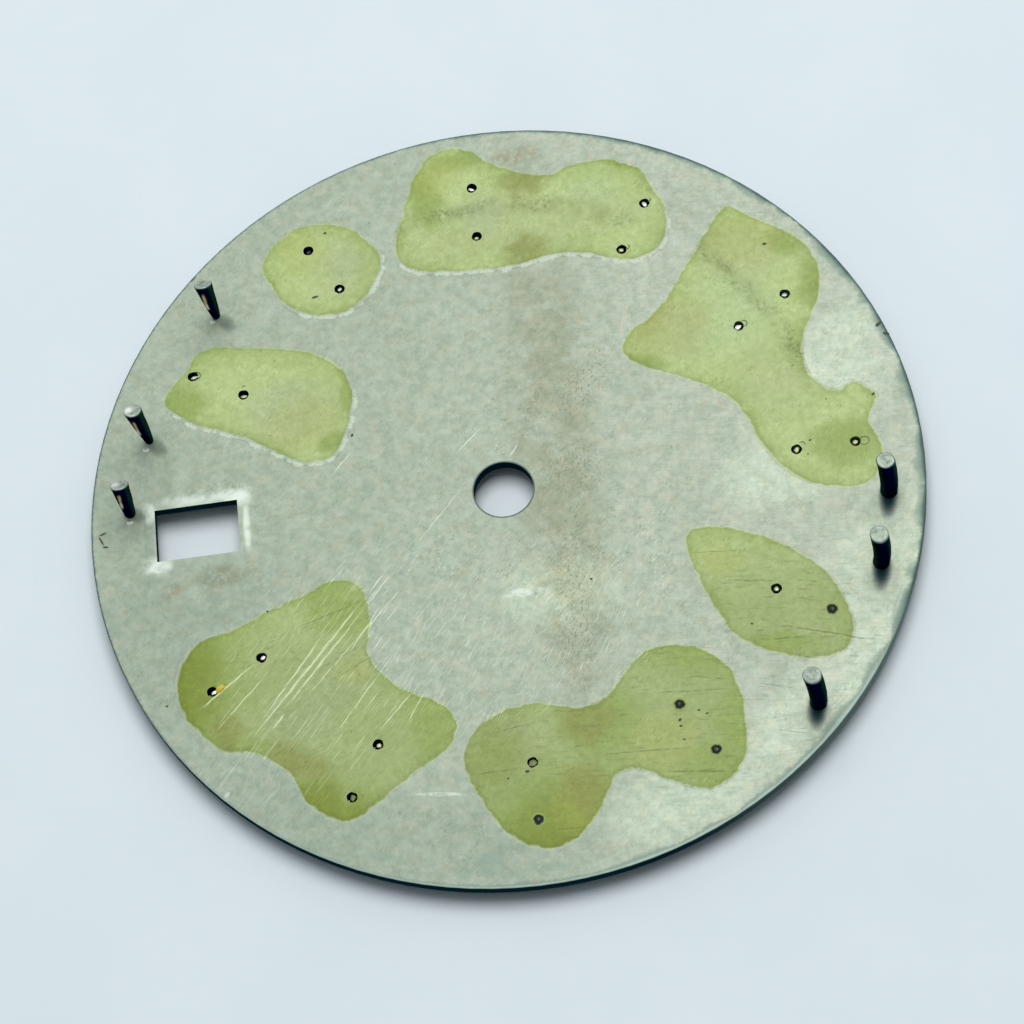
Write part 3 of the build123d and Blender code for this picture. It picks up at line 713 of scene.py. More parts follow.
def dried_lacquer(settings, plate):
    """Shellac-like fixing lacquer, brushed on thin and dried: a yellow-green satin film that
    is deeper where it pooled, and shows the scratches of the plate and its own."""
    material, tree, coords = new_material("fixing_lacquer_dried")
    marks = wear_marks(tree, coords)
    rim_distance = add(tree, "Attribute", attribute_name="rim_distance").outputs["Fac"]
    near_rim = add(tree, "MapRange", {"Value": rim_distance, "From Min": 1.1,
                                      "From Max": 0.0}, **SOFT)
    ragged = cloud(tree, coords, 0.50, 0.25, 0.75)
    ragged = add(tree, "Math", {0: ragged, 1: 0.12, 2: 0.06}, operation="MULTIPLY_ADD")
    from_rim = add(tree, "Math", {0: rim_distance, 1: ragged}, operation="DIVIDE")
    bare = add(tree, "MapRange", {"Value": from_rim, "From Min": 1.0, "From Max": 0.15}, **SOFT)
    edge_line = add(tree, "MapRange", {"Value": from_rim, "From Min": 2.2, "From Max": 1.0})
    uneven = wander(tree, coords, 0.9, 0.45)
    mottle = cloud(tree, coords, 1.5, 0.34, 0.66, 5.0)
    blotches = cloud(tree, coords, 0.34, 0.36, 0.64, 5.0)
    place = add(tree, "SeparateXYZ", {0: coords})
    ground, _, grain = silver_ground(tree, coords, place, plate)
    dots = cloud(tree, coords, 0.13, 0.42, 0.66, 2.0)
    ring = product(tree, marks["ring"], spots(tree, coords, DARK_RING_SPOTS, 0.5))
    to_lower = add(tree, "MapRange", {"Value": place.outputs["Y"], "From Min": -1.0,
                                      "From Max": -6.0}, **SOFT)
    colour = paint(tree, settings.thin, [
        ("#A9BC6C", mottle, 0.30),
        ("#B7C9A0", spots(tree, uneven, PALE_FILM_SPOTS), 0.35),
        ((0.735, 0.735, 0.68), to_lower, 1.0),
        (settings.thick, product(tree, near_rim, cloud(tree, coords, 1.6, 0.25, 0.6)), 0.55),
        (settings.thick, spots(tree, uneven, DEEP_FILM_SPOTS), 0.85),
        (settings.deepest, spots(tree, uneven, DEEPEST_FILM_SPOTS), 0.90),
        ("#B7BC5C", spots(tree, uneven, YELLOW_FILM_SPOTS), 0.35),
        ((0.94, 0.90, 0.96), spots(tree, uneven, DUSKY_FILM_SPOTS), 1.0),
        ("#8F9142", product(tree, spots(tree, uneven, BROWN_FILM_SPOTS),
                            cloud(tree, coords, 0.45, 0.15, 0.55, 4.0)), 0.75),
        ((0.90, 0.91, 0.85), blotches, 1.0),
        ((0.88, 0.88, 0.83), grain, 1.0),
        ((0.84, 0.84, 0.80), edge_line, 1.0),
        (ground, bare, 1.0),
        ((1.28, 1.25, 1.22), marks["flecks_pale"], 1.0),
        ((0.60, 0.62, 0.50), marks["flecks_dark"], 1.0),
        ("#7C8748", product(tree, ring, cloud(tree, coords, 0.6, 0.3, 0.7)), 0.50),
        ("#4A5228", product(tree, ring, dots, cloud(tree, coords, 0.9, 0.42, 0.62)), 0.55),
        ("#5C6230", marks["dark"], 0.55),
        ("#E6EFC0", marks["pale"], 0.80),
    ])
    roughness = add(tree, "MapRange", {"Value": bare, "To Min": 0.45,
                                       "To Max": plate.satin_roughness})
    finish_material(tree, {
        "Base Color": colour, "Roughness": roughness, "IOR": 1.5, "Specular IOR Level": 0.25,
        "Metallic": bare,
    }, grain, 0.0020)
    return material


def painted_edge_highlight(plate):
    """Painted highlight along film edges: pale patches that fade out into the plating round
    them."""
    material, tree, coords = new_material("fixing_lacquer_bloom")
    place = add(tree, "SeparateXYZ", {0: coords})
    ground, _, grain = silver_ground(tree, coords, place, plate)
    pale = add(tree, "Attribute", attribute_name="paleness").outputs["Fac"]
    # Pale patches of the painted highlight
    crumbs = cloud(tree, coords, 0.08, 0.25, 0.75, 4.0)
    crumbs = add(tree, "Math", {0: crumbs, 1: 0.70, 2: pale}, operation="MULTIPLY_ADD")
    crumbs = add(tree, "MapRange", {"Value": crumbs, "From Min": 0.55, "From Max": 1.55}, **SOFT)
    colour = paint(tree, ground, [("#DCE3D2", crumbs, 0.85)])
    metallic = add(tree, "Math", {0: 1.0, 1: crumbs}, operation="SUBTRACT")
    finish_material(tree, {"Base Color": colour, "Roughness": plate.satin_roughness,
                           "Metallic": metallic, "Specular IOR Level": 0.25}, grain, 0.0030)
    return material


def snipped_metal(name, hex_colour, roughness, metallic):
    """Nickel silver pin end, snipped and wetted with lacquer or left bare: a small uneven
    glint in the dark of its hole."""
    material, tree, coords = new_material(name)
    tone = cloud(tree, coords, 0.05, 0.35, 0.65)
    colour = paint(tree, linear(hex_colour), [("#3A4030", tone, 0.35)])
    finish_material(tree, {"Base Color": colour, "Roughness": roughness, "Metallic": metallic},
                    tone, 0.006)
    return material


def filled_hole_lacquer():
    """Clear lacquer drop over a pin hole, with the hole's shade painted on it as a soft dark disc,
    and a pale middle.
    """
    material, tree, coords = new_material("fixing_lacquer_over_hole")
    share = add(tree, "Attribute", attribute_name="radius_share").outputs["Fac"]
    rough = cloud(tree, coords, 0.12, 0.2, 0.8)
    rough = add(tree, "Math", {0: rough, 1: 0.22, 2: share}, operation="MULTIPLY_ADD")
    middle = add(tree, "MapRange", {"Value": rough, "From Min": 0.46, "From Max": 0.16}, **SOFT)
    skirt = add(tree, "MapRange", {"Value": rough, "From Min": 0.66, "From Max": 0.94}, **SOFT)
    # The dark base is the hole's painted shade under the clear drop
    colour = paint(tree, linear("#0A1614"), [
        ("#6B755C", product(tree, middle, cloud(tree, coords, 0.1, 0.2, 0.6)), 0.85),
        ("#9BAC62", skirt, 1.0),
    ])
    finish_material(tree, {"Base Color": colour, "Roughness": 0.5, "IOR": 1.5,
                           "Specular IOR Level": 0.1},
                    cloud(tree, coords, 0.08, 0.3, 0.7), 0.002)
    return material


def lacquer_lump(name, hex_colour, deep_hex, roughness):
    """Lump, ridge or skin of dried lacquer: glassy, with a deeper tone in its hollows."""
    material, tree, coords = new_material(name)
    tone = cloud(tree, coords, 0.08, 0.35, 0.65)
    colour = paint(tree, linear(hex_colour), [(deep_hex, tone, 0.5)])
    finish_material(tree, {"Base Color": colour, "Roughness": roughness, "IOR": 1.5}, tone, 0.004)
    return material


def shaded_oxide_copper(settings):
    """Copper wire foot: a blue-black skin of oxide, darkened further as painted shade, scraped to
    bright copper in streaks that carry a painted highlight, and a grey cut end."""
    material, tree, coords = new_material("copper_wire_oxide_painted_shade")
    end, scrape_and_highlight, bright, end_rim, side_painted_sheen = (
        add(tree, "Attribute", attribute_name=name).outputs["Fac"]
        for name in ("cut_end", "scrape_and_highlight", "end_painted_highlight", "end_rim", "side_painted_sheen"))
    tone = cloud(tree, coords, 0.16, 0.35, 0.65)
    bare = strongest(tree, end, scrape_and_highlight)
    colour = paint(tree, settings.oxide_and_painted_shade, [
        ("#0E3038", tone, 0.5),
        # Painted sheen on the sides of the foot seen edge on
        ("#467562", side_painted_sheen, 0.75),
        # Scraped copper along the streak, also a painted highlight
        (settings.copper, scrape_and_highlight, 0.95),
        (settings.foot_end, end, 1.0),
        ("#76827A", product(tree, end, cloud(tree, coords, 0.16, 0.40, 0.60)), 0.75),
        ("#D2D8D0", end_rim, 0.22),
        # Painted highlight at the low end of the streak and on the cut end
        ("#FFFBF2", bright, 0.95),
    ])
    # The oxide skin stays dark where it is seen edge on
    edge_tint = add(tree, "Mix", {0: bare, 6: linear("#0C1424"), 7: (1, 1, 1, 1)},
                    data_type="RGBA")
    roughness = add(tree, "Math", {0: end, 1: 0.32, 2: 0.38}, operation="MULTIPLY_ADD")
    finish_material(tree, {"Base Color": colour, "Metallic": 1.0, "Roughness": roughness,
                           "Specular Tint": edge_tint}, tone, 0.002)
    return material


def polished_markers(settings):
    """Rhodium-plated brass, diamond cut: bright flat facets, and pins painted dark in their
    holes as painted shade. The cutter's lines, under 0.01 mm apart, are drawn at 0.06 mm."""
    material, tree, coords = new_material("rhodium_plated_brass_polished")
    height = add(tree, "SeparateXYZ", {0: coords}).outputs["Z"]
    in_hole_shade = add(tree, "MapRange", {"Value": height, "From Min": -0.44, "From Max": -0.40})
    tone = cloud(tree, coords, 0.5, 0.3, 0.7)
    colour = paint(tree, settings.marker, [("#B6BBBE", tone, 0.25), ("#161E22", in_hole_shade, 1.0)])
    finish_material(tree, {"Base Color": colour, "Metallic": 1.0, "Roughness": 0.16},
                    cloud(tree, coords, 0.06, 0.3, 0.7), 0.0006)
    return material


def face_lacquer(settings):
    """Sprayed gloss lacquer of the face, with a faint orange-peel skin."""
    material, tree, coords = new_material("face_lacquer_gloss")
    tone = cloud(tree, coords, 3.0, 0.3, 0.7)
    colour = paint(tree, settings.coat, [("#1A2434", tone, 0.5)])
    finish_material(tree, {"Base Color": colour, "Roughness": 0.22, "Coat Weight": 1.0,
                           "Coat Roughness": 0.06},
                    cloud(tree, coords, 0.45, 0.3, 0.7), 0.003)
    return material


def printed_ink(settings):
    """Pad-printed ink: matt, slightly uneven in tone."""
    material, tree, coords = new_material("pad_printed_ink")
    tone = cloud(tree, coords, 0.25, 0.35, 0.65)
    colour = paint(tree, settings.ink, [("#CDD0CC", tone, 0.5)])
    finish_material(tree, {"Base Color": colour, "Roughness": 0.6}, tone, 0.001)
    return material


def matt_paper(settings):
    """Plain matt paper under the dial: even, without shine. Its fibres are too fine to show, so
    only its slow change of tone over 6 mm is drawn."""
    material, tree, coords = new_material("matt_paper")
    tone = cloud(tree, coords, 6.0, 0.3, 0.7)
    colour = paint(tree, settings.floor, [("#DDE5EC", tone, 0.35)])
    finish_material(tree, {"Base Color": colour, "Roughness": 0.9}, tone, 0.002)
    return material


# Meshes

def new_piece(mesh, material, replaced=()):
    """Link a finished mesh as a piece that rides on the dial."""
    mesh.materials.append(material)
    piece = bpy.data.objects.new(mesh.name, mesh)
    bpy.context.scene.collection.objects.link(piece)
    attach(piece, BODY)
    if replaced:
        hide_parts(*replaced)


def mesh_from(name, points, faces, floats=None, sharp_degrees=50):
    """Mesh from points in millimetres and faces, with values kept on its points by name."""
    mesh = bpy.data.meshes.new(name)
    mesh.from_pydata([[c * MM for c in point] for point in points], [], faces)
    mesh.validate()
    mesh.polygons.foreach_set("use_smooth", [True] * len(mesh.polygons))
    mesh.set_sharp_from_angle(angle=math.radians(sharp_degrees))
    for key, values in (floats or {}).items():
        mesh.attributes.new(key, "FLOAT", "POINT").data.foreach_set("value", values)
    mesh.update()
    return mesh


def turns_round(sides):
    """Cosine and sine of the turn to each point round a piece."""
    angles = [2 * math.pi * side / sides for side in range(sides)]
    return [(math.cos(angle), math.sin(angle)) for angle in angles]


def wall_faces(rows, sides):
    """Faces between the rows of a round piece, and one flat face at each end."""
    faces = []
    for row in range(rows - 1):
        for side in range(sides):
            a, b = row * sides + side, row * sides + (side + 1) % sides
            faces.append((a, b, b + sides, a + sides))
    faces.append(list(reversed(range(sides))))
    faces.append([(rows - 1) * sides + side for side in range(sides)])
    return faces


def cap_faces(rings, sides):
    """Faces of a cap: a fan round its first point, bands between its rings, and one flat face
    below."""
    faces = []
    for side in range(sides):
        after = (side + 1) % sides
        faces.append((0, 1 + side, 1 + after))
        for ring in range(rings - 1):
            a, b = 1 + ring * sides + side, 1 + ring * sides + after
            faces.append((a, a + sides, b + sides, b))
    faces.append([1 + (rings - 1) * sides + side for side in reversed(range(sides))])
    return faces


def pin_axis(settings, hour, ring):
    """Axis of a marker's pin on the back, in millimetres."""
    low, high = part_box("hour_marker_12")
    inset = settings.pin_end_inset
    radius = (high.y - inset if ring == "outer" else low.y + inset) / MM
    angle = math.radians(90 + 30 * hour)
    return Vector((radius * math.cos(angle), radius * math.sin(angle)))


def rim_loops(node_name):
    """Closed outlines of a CAD film's underside in millimetres, the longest first."""
    work = bmesh.new()
    work.from_mesh(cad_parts[node_name].data)
    bmesh.ops.remove_doubles(work, verts=work.verts, dist=0.0005 * MM)
    work.normal_update()
    low = min(vertex.co.z for vertex in work.verts)
    after = {}
    for edge in work.edges:
        level = all(abs(vertex.co.z - low) < 0.001 * MM for vertex in edge.verts)
        under = [face for face in edge.link_faces if face.normal.z < -0.999]
        if level and len(under) == 1:
            first, last = edge.verts
            after.setdefault(first, []).append(last)
            after.setdefault(last, []).append(first)
    loops = []
    while after:
        loop, here, came_from = [], next(iter(after)), None
        while here is not None and here in after:
            loop.append((here.co.x / MM, here.co.y / MM))
            ways = [way for way in after.pop(here) if way is not came_from and way in after]
            here, came_from = (ways[0] if ways else None), here
        loops.append(np.array(loop))
    work.free()
    loops.sort(key=lambda loop: -np.ptp(loop[:, 0]) * np.ptp(loop[:, 1]))
    return loops


def even_loop(loop, step):
    """Closed outline with points an even step apart."""
    closed = np.vstack([loop, loop[:1]])
    along = np.concatenate([[0], np.cumsum(np.linalg.norm(np.diff(closed, axis=0), axis=1))])
    at = np.linspace(0, along[-1], max(12, int(along[-1] / step)), endpoint=False)
    return np.column_stack([np.interp(at, along, closed[:, i]) for i in (0, 1)])


def outward(loop):
    """Unit normals of a closed outline, away from its inside."""
    run = np.roll(loop, -1, axis=0) - np.roll(loop, 1, axis=0)
    normal = np.column_stack([run[:, 1], -run[:, 0]])
    area = np.sum(loop[:, 0] * np.roll(loop[:, 1], -1) - np.roll(loop[:, 0], -1) * loop[:, 1])
    normal *= 1 if area > 0 else -1
    return normal / np.linalg.norm(normal, axis=1)[:, None]


def rippled(loop, amount):
    """Outline that wanders a little in and out, coarse and fine."""
    shift = [noise(Vector((x * 1.3, y * 1.3, 3.0))) + 0.7 * noise(Vector((x * 4, y * 4, 7.0)))
             + 0.25 * noise(Vector((x * 9, y * 9, 5.0))) for x, y in loop]
    return loop + outward(loop) * np.array(shift)[:, None] * amount


def inside(points, loop):
    """Which points lie inside a closed outline."""
    x, y = points[:, 0][:, None], points[:, 1][:, None]
    x1, y1 = loop[:, 0], loop[:, 1]
    x2, y2 = np.roll(x1, -1), np.roll(y1, -1)
    crosses = ((y1 > y) != (y2 > y)) & (x < (x2 - x1) * (y - y1) / (y2 - y1 + TINY) + x1)
    return crosses.sum(axis=1) % 2 == 1


def distance_to(points, loop):
    """Distance from each point to a closed outline."""
    run = np.roll(loop, -1, axis=0) - loop
    offset = points[:, None, :] - loop[None, :, :]
    share = (offset * run).sum(axis=2) / ((run * run).sum(axis=1) + TINY)
    near = offset - np.clip(share, 0, 1)[:, :, None] * run
    return np.sqrt((near * near).sum(axis=2)).min(axis=1)


def soft_step(value):
    """Smooth step from 0 to 1."""
    value = np.clip(value, 0, 1)
    return value * value * (3 - 2 * value)


def uneven_openings(loops, radius):
    """Openings of a film round its pins: rough rings about the middles of the CAD's rings."""
    holes = []
    angles = np.linspace(0, 2 * math.pi, OPENING_SIDES, endpoint=False)
    for number, loop in enumerate(loops):
        x, y = loop.mean(axis=0)
        reach = [radius * (1 + 0.16 * noise(Vector((math.cos(a) * 1.3 + x, math.sin(a) * 1.3 + y,
                                                    number)))) for a in angles]
        ways = np.column_stack([np.cos(angles), np.sin(angles)])
        holes.append(np.array((x, y)) + ways * np.array(reach)[:, None])
    return holes


def film_points(outer, holes, step):
    """Points inside a film: rows that follow its edge, then a shaken grid."""
    low, high = outer.min(axis=0), outer.max(axis=0)
    columns, rows = np.meshgrid(np.arange(low[0], high[0], step), np.arange(low[1], high[1], step))
    grid = np.column_stack([columns.ravel(), rows.ravel()])
    grid += [[noise(Vector((x * 7, y * 7, 1))) * step * 0.3,
              noise(Vector((x * 7, y * 7, 5))) * step * 0.3] for x, y in grid]
    bands = []
    for depth in EDGE_BAND_DEPTHS:
        band = outer - outward(outer) * depth
        bands.append(band[inside(band, outer) & (distance_to(band, outer) > depth * 0.9)])
    grid = np.vstack([grid[distance_to(grid, outer) > EDGE_BAND_DEPTHS[-1] + step * 0.4]] + bands)
    keep = inside(grid, outer)
    for hole in holes:
        keep &= ~inside(grid, hole) & (distance_to(grid, hole) > step * 0.2)
    return grid[keep]


def film_mesh(name, node_name, settings):
    """Dried film: a closed skin on the plate, raised just inside its rippled edge, with an
    uneven opening round each pin."""
    loops = rim_loops(node_name)
    step = settings.grid_step / MM
    outer = rippled(even_loop(loops[0], step * 0.4), settings.edge_ripple / MM)
    holes = uneven_openings(loops[1:], settings.hole_radius / MM)
    rims = [outer] + holes
    edges, count = [], 0
    for rim in rims:
        edges += [(count + i, count + (i + 1) % len(rim)) for i in range(len(rim))]
        count += len(rim)
    points = np.vstack(rims + [film_points(outer, holes, step)])
    made = delaunay_2d_cdt([Vector(p) for p in points], edges, [], 0, 1e-5)
    flat = np.array([list(p) for p in made[0]])
    middles = np.array([flat[list(face)].mean(axis=0) for face in made[2]])
    shown = inside(middles, outer)
    for hole in holes:
        shown &= ~inside(middles, hole)
    faces = [list(face) for face, kept in zip(made[2], shown) if kept]

    # Heights of the upper skin, which comes down to the plate at every rim
    on_rim = np.array([any(i < count for i in came) for came in made[3]])
    to_outer = distance_to(flat, outer)
    to_any = np.minimum.reduce([distance_to(flat, rim) for rim in rims])
    rim_z, middle_z = settings.rim_height / MM, settings.middle_height / MM
    wave = np.array([noise(Vector((x * 1.1, y * 1.1, 2.0))) for x, y in flat]) * FILM_WAVE
    top = (middle_z + (rim_z - middle_z) * np.exp(-to_outer / FILM_RIM_FALL)) * (1 + wave)
    top *= soft_step(to_outer / FILM_EDGE_RISE) * soft_step(to_any / FILM_OPENING_RISE) * 0.96
    top[on_rim] = 0.0

    # The flat underside shares the points of the rims
    below = {i: i for i in np.flatnonzero(on_rim)}
    solid = [(x, y, z) for (x, y), z in zip(flat, top)]
    for i in np.flatnonzero(~on_rim):
        below[i] = len(solid)
        solid.append((flat[i][0], flat[i][1], 0.0))
    under = [[below[i] for i in reversed(face)] for face in faces]
    rim_distance = list(to_outer) + list(to_outer[~on_rim])
    return mesh_from(name, solid, faces + under, {"rim_distance": rim_distance}, 80)


def edge_highlight_mesh(name, node_name, settings, towards, width):
    """Pale skin with a painted highlight over the edges of a film that face one way."""
    loop = rippled(even_loop(rim_loops(node_name)[0], HIGHLIGHT_STEP), settings.edge_ripple / MM)
    away = outward(loop)
    facing = away @ np.array(towards)
    points, faces, paleness = [], [], []
    for way_share, place, normal in zip(facing, loop, away):
        strength = soft_step((way_share - 0.05) / 0.5)
        patchy = (0.62 + 1.1 * noise(Vector((place[0] * 2.8, place[1] * 2.8, 9.0)))
                  + 0.7 * noise(Vector((place[0] * 9, place[1] * 9, 4.0))))
        reach = max(width * strength * patchy, 0.0)
        full = min(1.0, reach / width * 1.6)
        for at, z, pale in (*HIGHLIGHT_ROWS, (reach, 0.0, 0.0)):
            spot = place + normal * at
            points.append((spot[0], spot[1], z))
            paleness.append(pale * full)
    for i in range(len(loop)):
        j = (i + 1) % len(loop)
        if min(facing[i], facing[j]) > 0.06:
            a, b = 3 * i, 3 * j
            faces += [(a, b, b + 1, a + 1), (a + 1, b + 1, b + 2, a + 2), (a + 2, b + 2, b, a)]
    return mesh_from(name, points, faces, {"paleness": paleness})


def lump_points(half_length, half_width, height, turn, seed, sides=14, rings=4):
    """Points and faces of an uneven low lump, flat below."""
    spin = Matrix.Rotation(math.radians(turn), 2)
    points = [(0.0, 0.0, height)]
    for ring in range(1, rings + 1):
        slope = math.pi / 2 * ring / rings
        for cos, sin in turns_round(sides):
            reach = math.sin(slope) * (1 + 0.22 * noise(Vector((cos * 1.2, sin * 1.2, seed))))
            flat = spin @ Vector((half_length * reach * cos, half_width * reach * sin))
            points.append((flat.x, flat.y, height * math.cos(slope)))
    return points, cap_faces(rings, sides)


def lumps_mesh(name, places, height_share, base_z=0.0):
    """Several low lumps in one mesh. The height is a share of the half width."""
    points, faces = [], []
    for seed, (x, y, half_length, half_width, turn) in enumerate(places):
        own, own_faces = lump_points(half_length, half_width, half_width * height_share, turn,
                                     seed + 0.5)
        faces += [[i + len(points) for i in face] for face in own_faces]
        points += [(px + x, py + y, pz + base_z) for px, py, pz in own]
    return mesh_from(name, points, faces)


def tube_mesh(name, centres, radius, sides=8):
    """Round tube along a run of points, thinned to a point at both ends."""
    points = []
    count = len(centres)
    for i, centre in enumerate(centres):
        run = (Vector(centres[min(i + 1, count - 1)]) - Vector(centres[max(i - 1, 0)])).normalized()
        side_way = run.cross(Vector((0, 0, 1))).normalized()
        up_way = side_way.cross(run)
        thin = math.sin(math.pi * (i + 0.35) / (count - 0.3)) ** 0.5
        for cos, sin in turns_round(sides):
            offset = (side_way * cos + up_way * sin) * radius * thin
            points.append(tuple(Vector(centre) + offset))
    return mesh_from(name, points, wall_faces(count, sides))


def ridge_mesh(name, axis, ridge):
    """Ridge of lacquer beside a pin: a thin tube on an arc, a little flattened."""
    dx, dy, radius, first, last = ridge
    middle = axis + Vector((dx, dy))
    angles = [math.radians(first + (last - first) * step / RIDGE_STEPS)
              for step in range(RIDGE_STEPS + 1)]
    centres = [(middle.x + radius * math.cos(angle), middle.y + radius * 0.9 * math.sin(angle),
                RIDGE_RADIUS) for angle in angles]
    return tube_mesh(name, centres, RIDGE_RADIUS)


def tip_mesh(name, axis, tip, settings, seed):
    """Snipped pin end: an uneven stub that rises from the pin, cut on a slant."""
    dx, dy, half_length, half_width, turn, _ = tip
    sides, spin = 12, Matrix.Rotation(math.radians(turn), 2)
    low, high = -settings.pin_depth / MM, settings.tip_rise / MM
    levels = ((0.75, low), (0.95, low * 0.4), (1.0, high - 0.03), (0.82, high - 0.008),
              (0.45, high))
    points = []
    for share, z in levels:
        for cos, sin in turns_round(sides):
            rough = 1 + 0.25 * noise(Vector((cos * 1.5, sin * 1.5, seed)))
            flat = spin @ Vector((half_length * cos, half_width * sin)) * share * rough
            slant = 0.25 * flat.y if z > low * 0.5 else 0.0
            points.append((axis.x + dx + flat.x, axis.y + dy + flat.y, z - slant))
    return mesh_from(name, points, wall_faces(len(levels), sides))


def drop_mesh(name, axis, seed, rings=9, sides=28):
    """Low drop of lacquer over a filled pin hole, dented round its middle."""
    top = DROP_BASE + DROP_HEIGHT
    points, shares = [(axis.x, axis.y, top)], [0.0]
    for ring in range(1, rings + 1):
        share = ring / rings
        sag = DROP_HEIGHT * math.cos(share * math.pi / 2) ** 0.8
        dent = DROP_DENT * math.exp(-(share / 0.3) ** 2)
        for cos, sin in turns_round(sides):
            reach = DROP_RADIUS * share * (1 + 0.10 * noise(Vector((cos, sin, seed))))
            points.append((axis.x + reach * cos, axis.y + reach * sin, DROP_BASE + sag - dent))
            shares.append(share)
    for x, y, _ in points[-sides:]:
        points.append((x, y, 0.001))
        shares.append(1.0)
    return mesh_from(name, points, cap_faces(rings + 1, sides), {"radius_share": shares})


def foot_levels(tall, base_share):
    """Heights and radii of a foot's rows: its tapered wire, its round shoulder and its end."""
    body = tall - FOOT_SHOULDER
    levels = []
    for step in range(24):
        share = step / 23
        levels.append((body * share, FOOT_RADIUS * (base_share + (1 - base_share) * share ** 0.8)))
    for step in range(1, 6):
        slope = math.pi / 2 * step / 5
        levels.append((body + FOOT_SHOULDER * math.sin(slope),
                       FOOT_RADIUS - FOOT_SHOULDER + FOOT_SHOULDER * math.cos(slope)))
    for share in (0.75, 0.5, 0.25):
        levels.append((tall - 0.01 * (1 - share), (FOOT_RADIUS - FOOT_SHOULDER) * share))
    return levels


def foot_mesh(name, node_name, settings):
    """Copper foot: a worn wire, thinned or bulged along its height, with a rounded and pitted
    cut end. The first three feet are thinned to their base and scraped along one side, with a
    painted highlight on the streak."""
    low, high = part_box(node_name)
    centre = (low + high) / 2 / MM
    (height_share, end_offset, base_offset, bulge, base_share, end_radius, slope_of_cut, scraped,
     spot) = FOOT_FORMS[node_name[-2:]]
    tall = high.z / MM * height_share
    sides = settings.foot_sides
    levels = foot_levels(tall, base_share)
    values = {"cut_end": [], "end_rim": [], "scrape_and_highlight": [], "end_painted_highlight": [], "side_painted_sheen": []}
    points = []
    for z, radius in levels:
        share = z / tall
        path = Vector(base_offset).lerp(Vector(end_offset), share)
        path.x += bulge * math.sin(math.pi * share ** 0.8)
        on_top = (soft_step((z - tall + FOOT_SHOULDER + 0.03) / 0.03)
                  * soft_step((end_radius + 0.02 - radius) / 0.04))
        first_turn, last_turn = FOOT_STREAK_TURNS
        streak = first_turn + (last_turn - first_turn) * soft_step((share - 0.30) / 0.55)
        wave = 0.08 * noise(Vector((z * 3.0, centre.x, 0.0)))
        shown = soft_step((share - 0.32) / 0.06) * soft_step((0.84 - share) / 0.10)
        for side, turned in enumerate(turns_round(sides)):
            way = Vector(turned)
            rough = 1 + 0.05 * noise(Vector((way.x * 1.4 + centre.x, way.y * 1.4, z * 1.6)))
            pit = FOOT_PIT_DEPTH * math.exp(-((way * radius - FOOT_PIT_PLACE).length / 0.09) ** 2)
            cut = 1 - slope_of_cut * way.y * radius / tall
            points.append((centre.x + path.x + way.x * radius * rough,
                           centre.y + path.y + way.y * radius * rough, z * cut - pit * on_top))
            turn = abs((2 * math.pi * side / sides - streak + math.pi) % (2 * math.pi) - math.pi)
            band = scraped * soft_step((0.26 + wave - turn) / 0.14) * shown
            glint = spot * soft_step((0.24 - (way * radius - FOOT_PAINTED_GLINT_PLACE).length) / 0.20)
            values["cut_end"].append(float(on_top * (1 - 0.85 * glint)))
            values["end_rim"].append(float(on_top * soft_step((radius / end_radius - 0.66) / 0.2)))
            values["scrape_and_highlight"].append(float(band))
            values["end_painted_highlight"].append(float(max(band * soft_step((0.60 - share) / 0.16),
                                                  glint * on_top)))
            values["side_painted_sheen"].append(float(soft_step((abs(way.x) - 0.45) / 0.5)))
    return mesh_from(name, points, wall_faces(len(levels), sides), values, 60)


def dress(node_name, material):
    """Put a material in every slot of a CAD node."""
    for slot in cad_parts[node_name].material_slots:
        slot.material = material


# Operators: one for each piece or group of like pieces

class DIAL_OT_plate(bpy.types.Operator):
    """Give the plate its worn silvered back and cut walls with painted shade"""
    bl_idname = "dial.plate"
    bl_label = "Plate"

    def execute(self, context):
        dress("dial_plate", silvered_brass(context.scene.dial_plate))
        return {"FINISHED"}


class DIAL_OT_face(bpy.types.Operator):
    """Give the face its gloss coat and printed minute track"""
    bl_idname = "dial.face"
    bl_label = "Face"

    def execute(self, context):
        dress("face_coat", face_lacquer(context.scene.dial_face))
        dress("minute_track", printed_ink(context.scene.dial_face))
        return {"FINISHED"}


class DIAL_OT_markers(bpy.types.Operator):
    """Polish the hour markers"""
    bl_idname = "dial.markers"
    bl_label = "Hour Markers"

    def execute(self, context):
        material = polished_markers(context.scene.dial_metal)
        for node_name in MARKERS:
            dress(node_name, material)
        return {"FINISHED"}


class DIAL_OT_films(bpy.types.Operator):
    """Lay the dried lacquer films over the marker pins"""
    bl_idname = "dial.films"
    bl_label = "Lacquer Films"

    def execute(self, context):
        settings = context.scene.dial_lacquer
        material = dried_lacquer(settings, context.scene.dial_plate)
        for node_name in FILMS:
            mesh = film_mesh("dried_" + node_name, node_name, settings)
            new_piece(mesh, material, [node_name])
        return {"FINISHED"}


class DIAL_OT_edge_highlights(bpy.types.Operator):
    """Add the painted highlights along the lower edges of three films"""
    bl_idname = "dial.blooms"
    bl_label = "Painted Edge Glints"

    def execute(self, context):
        settings = context.scene.dial_lacquer
        material = painted_edge_highlight(context.scene.dial_plate)
        for node_name, (towards, width) in PAINTED_EDGE_HIGHLIGHTS.items():
            name = node_name.replace("lacquer", "bloom")
            new_piece(edge_highlight_mesh(name, node_name, settings, towards, width), material)
        return {"FINISHED"}


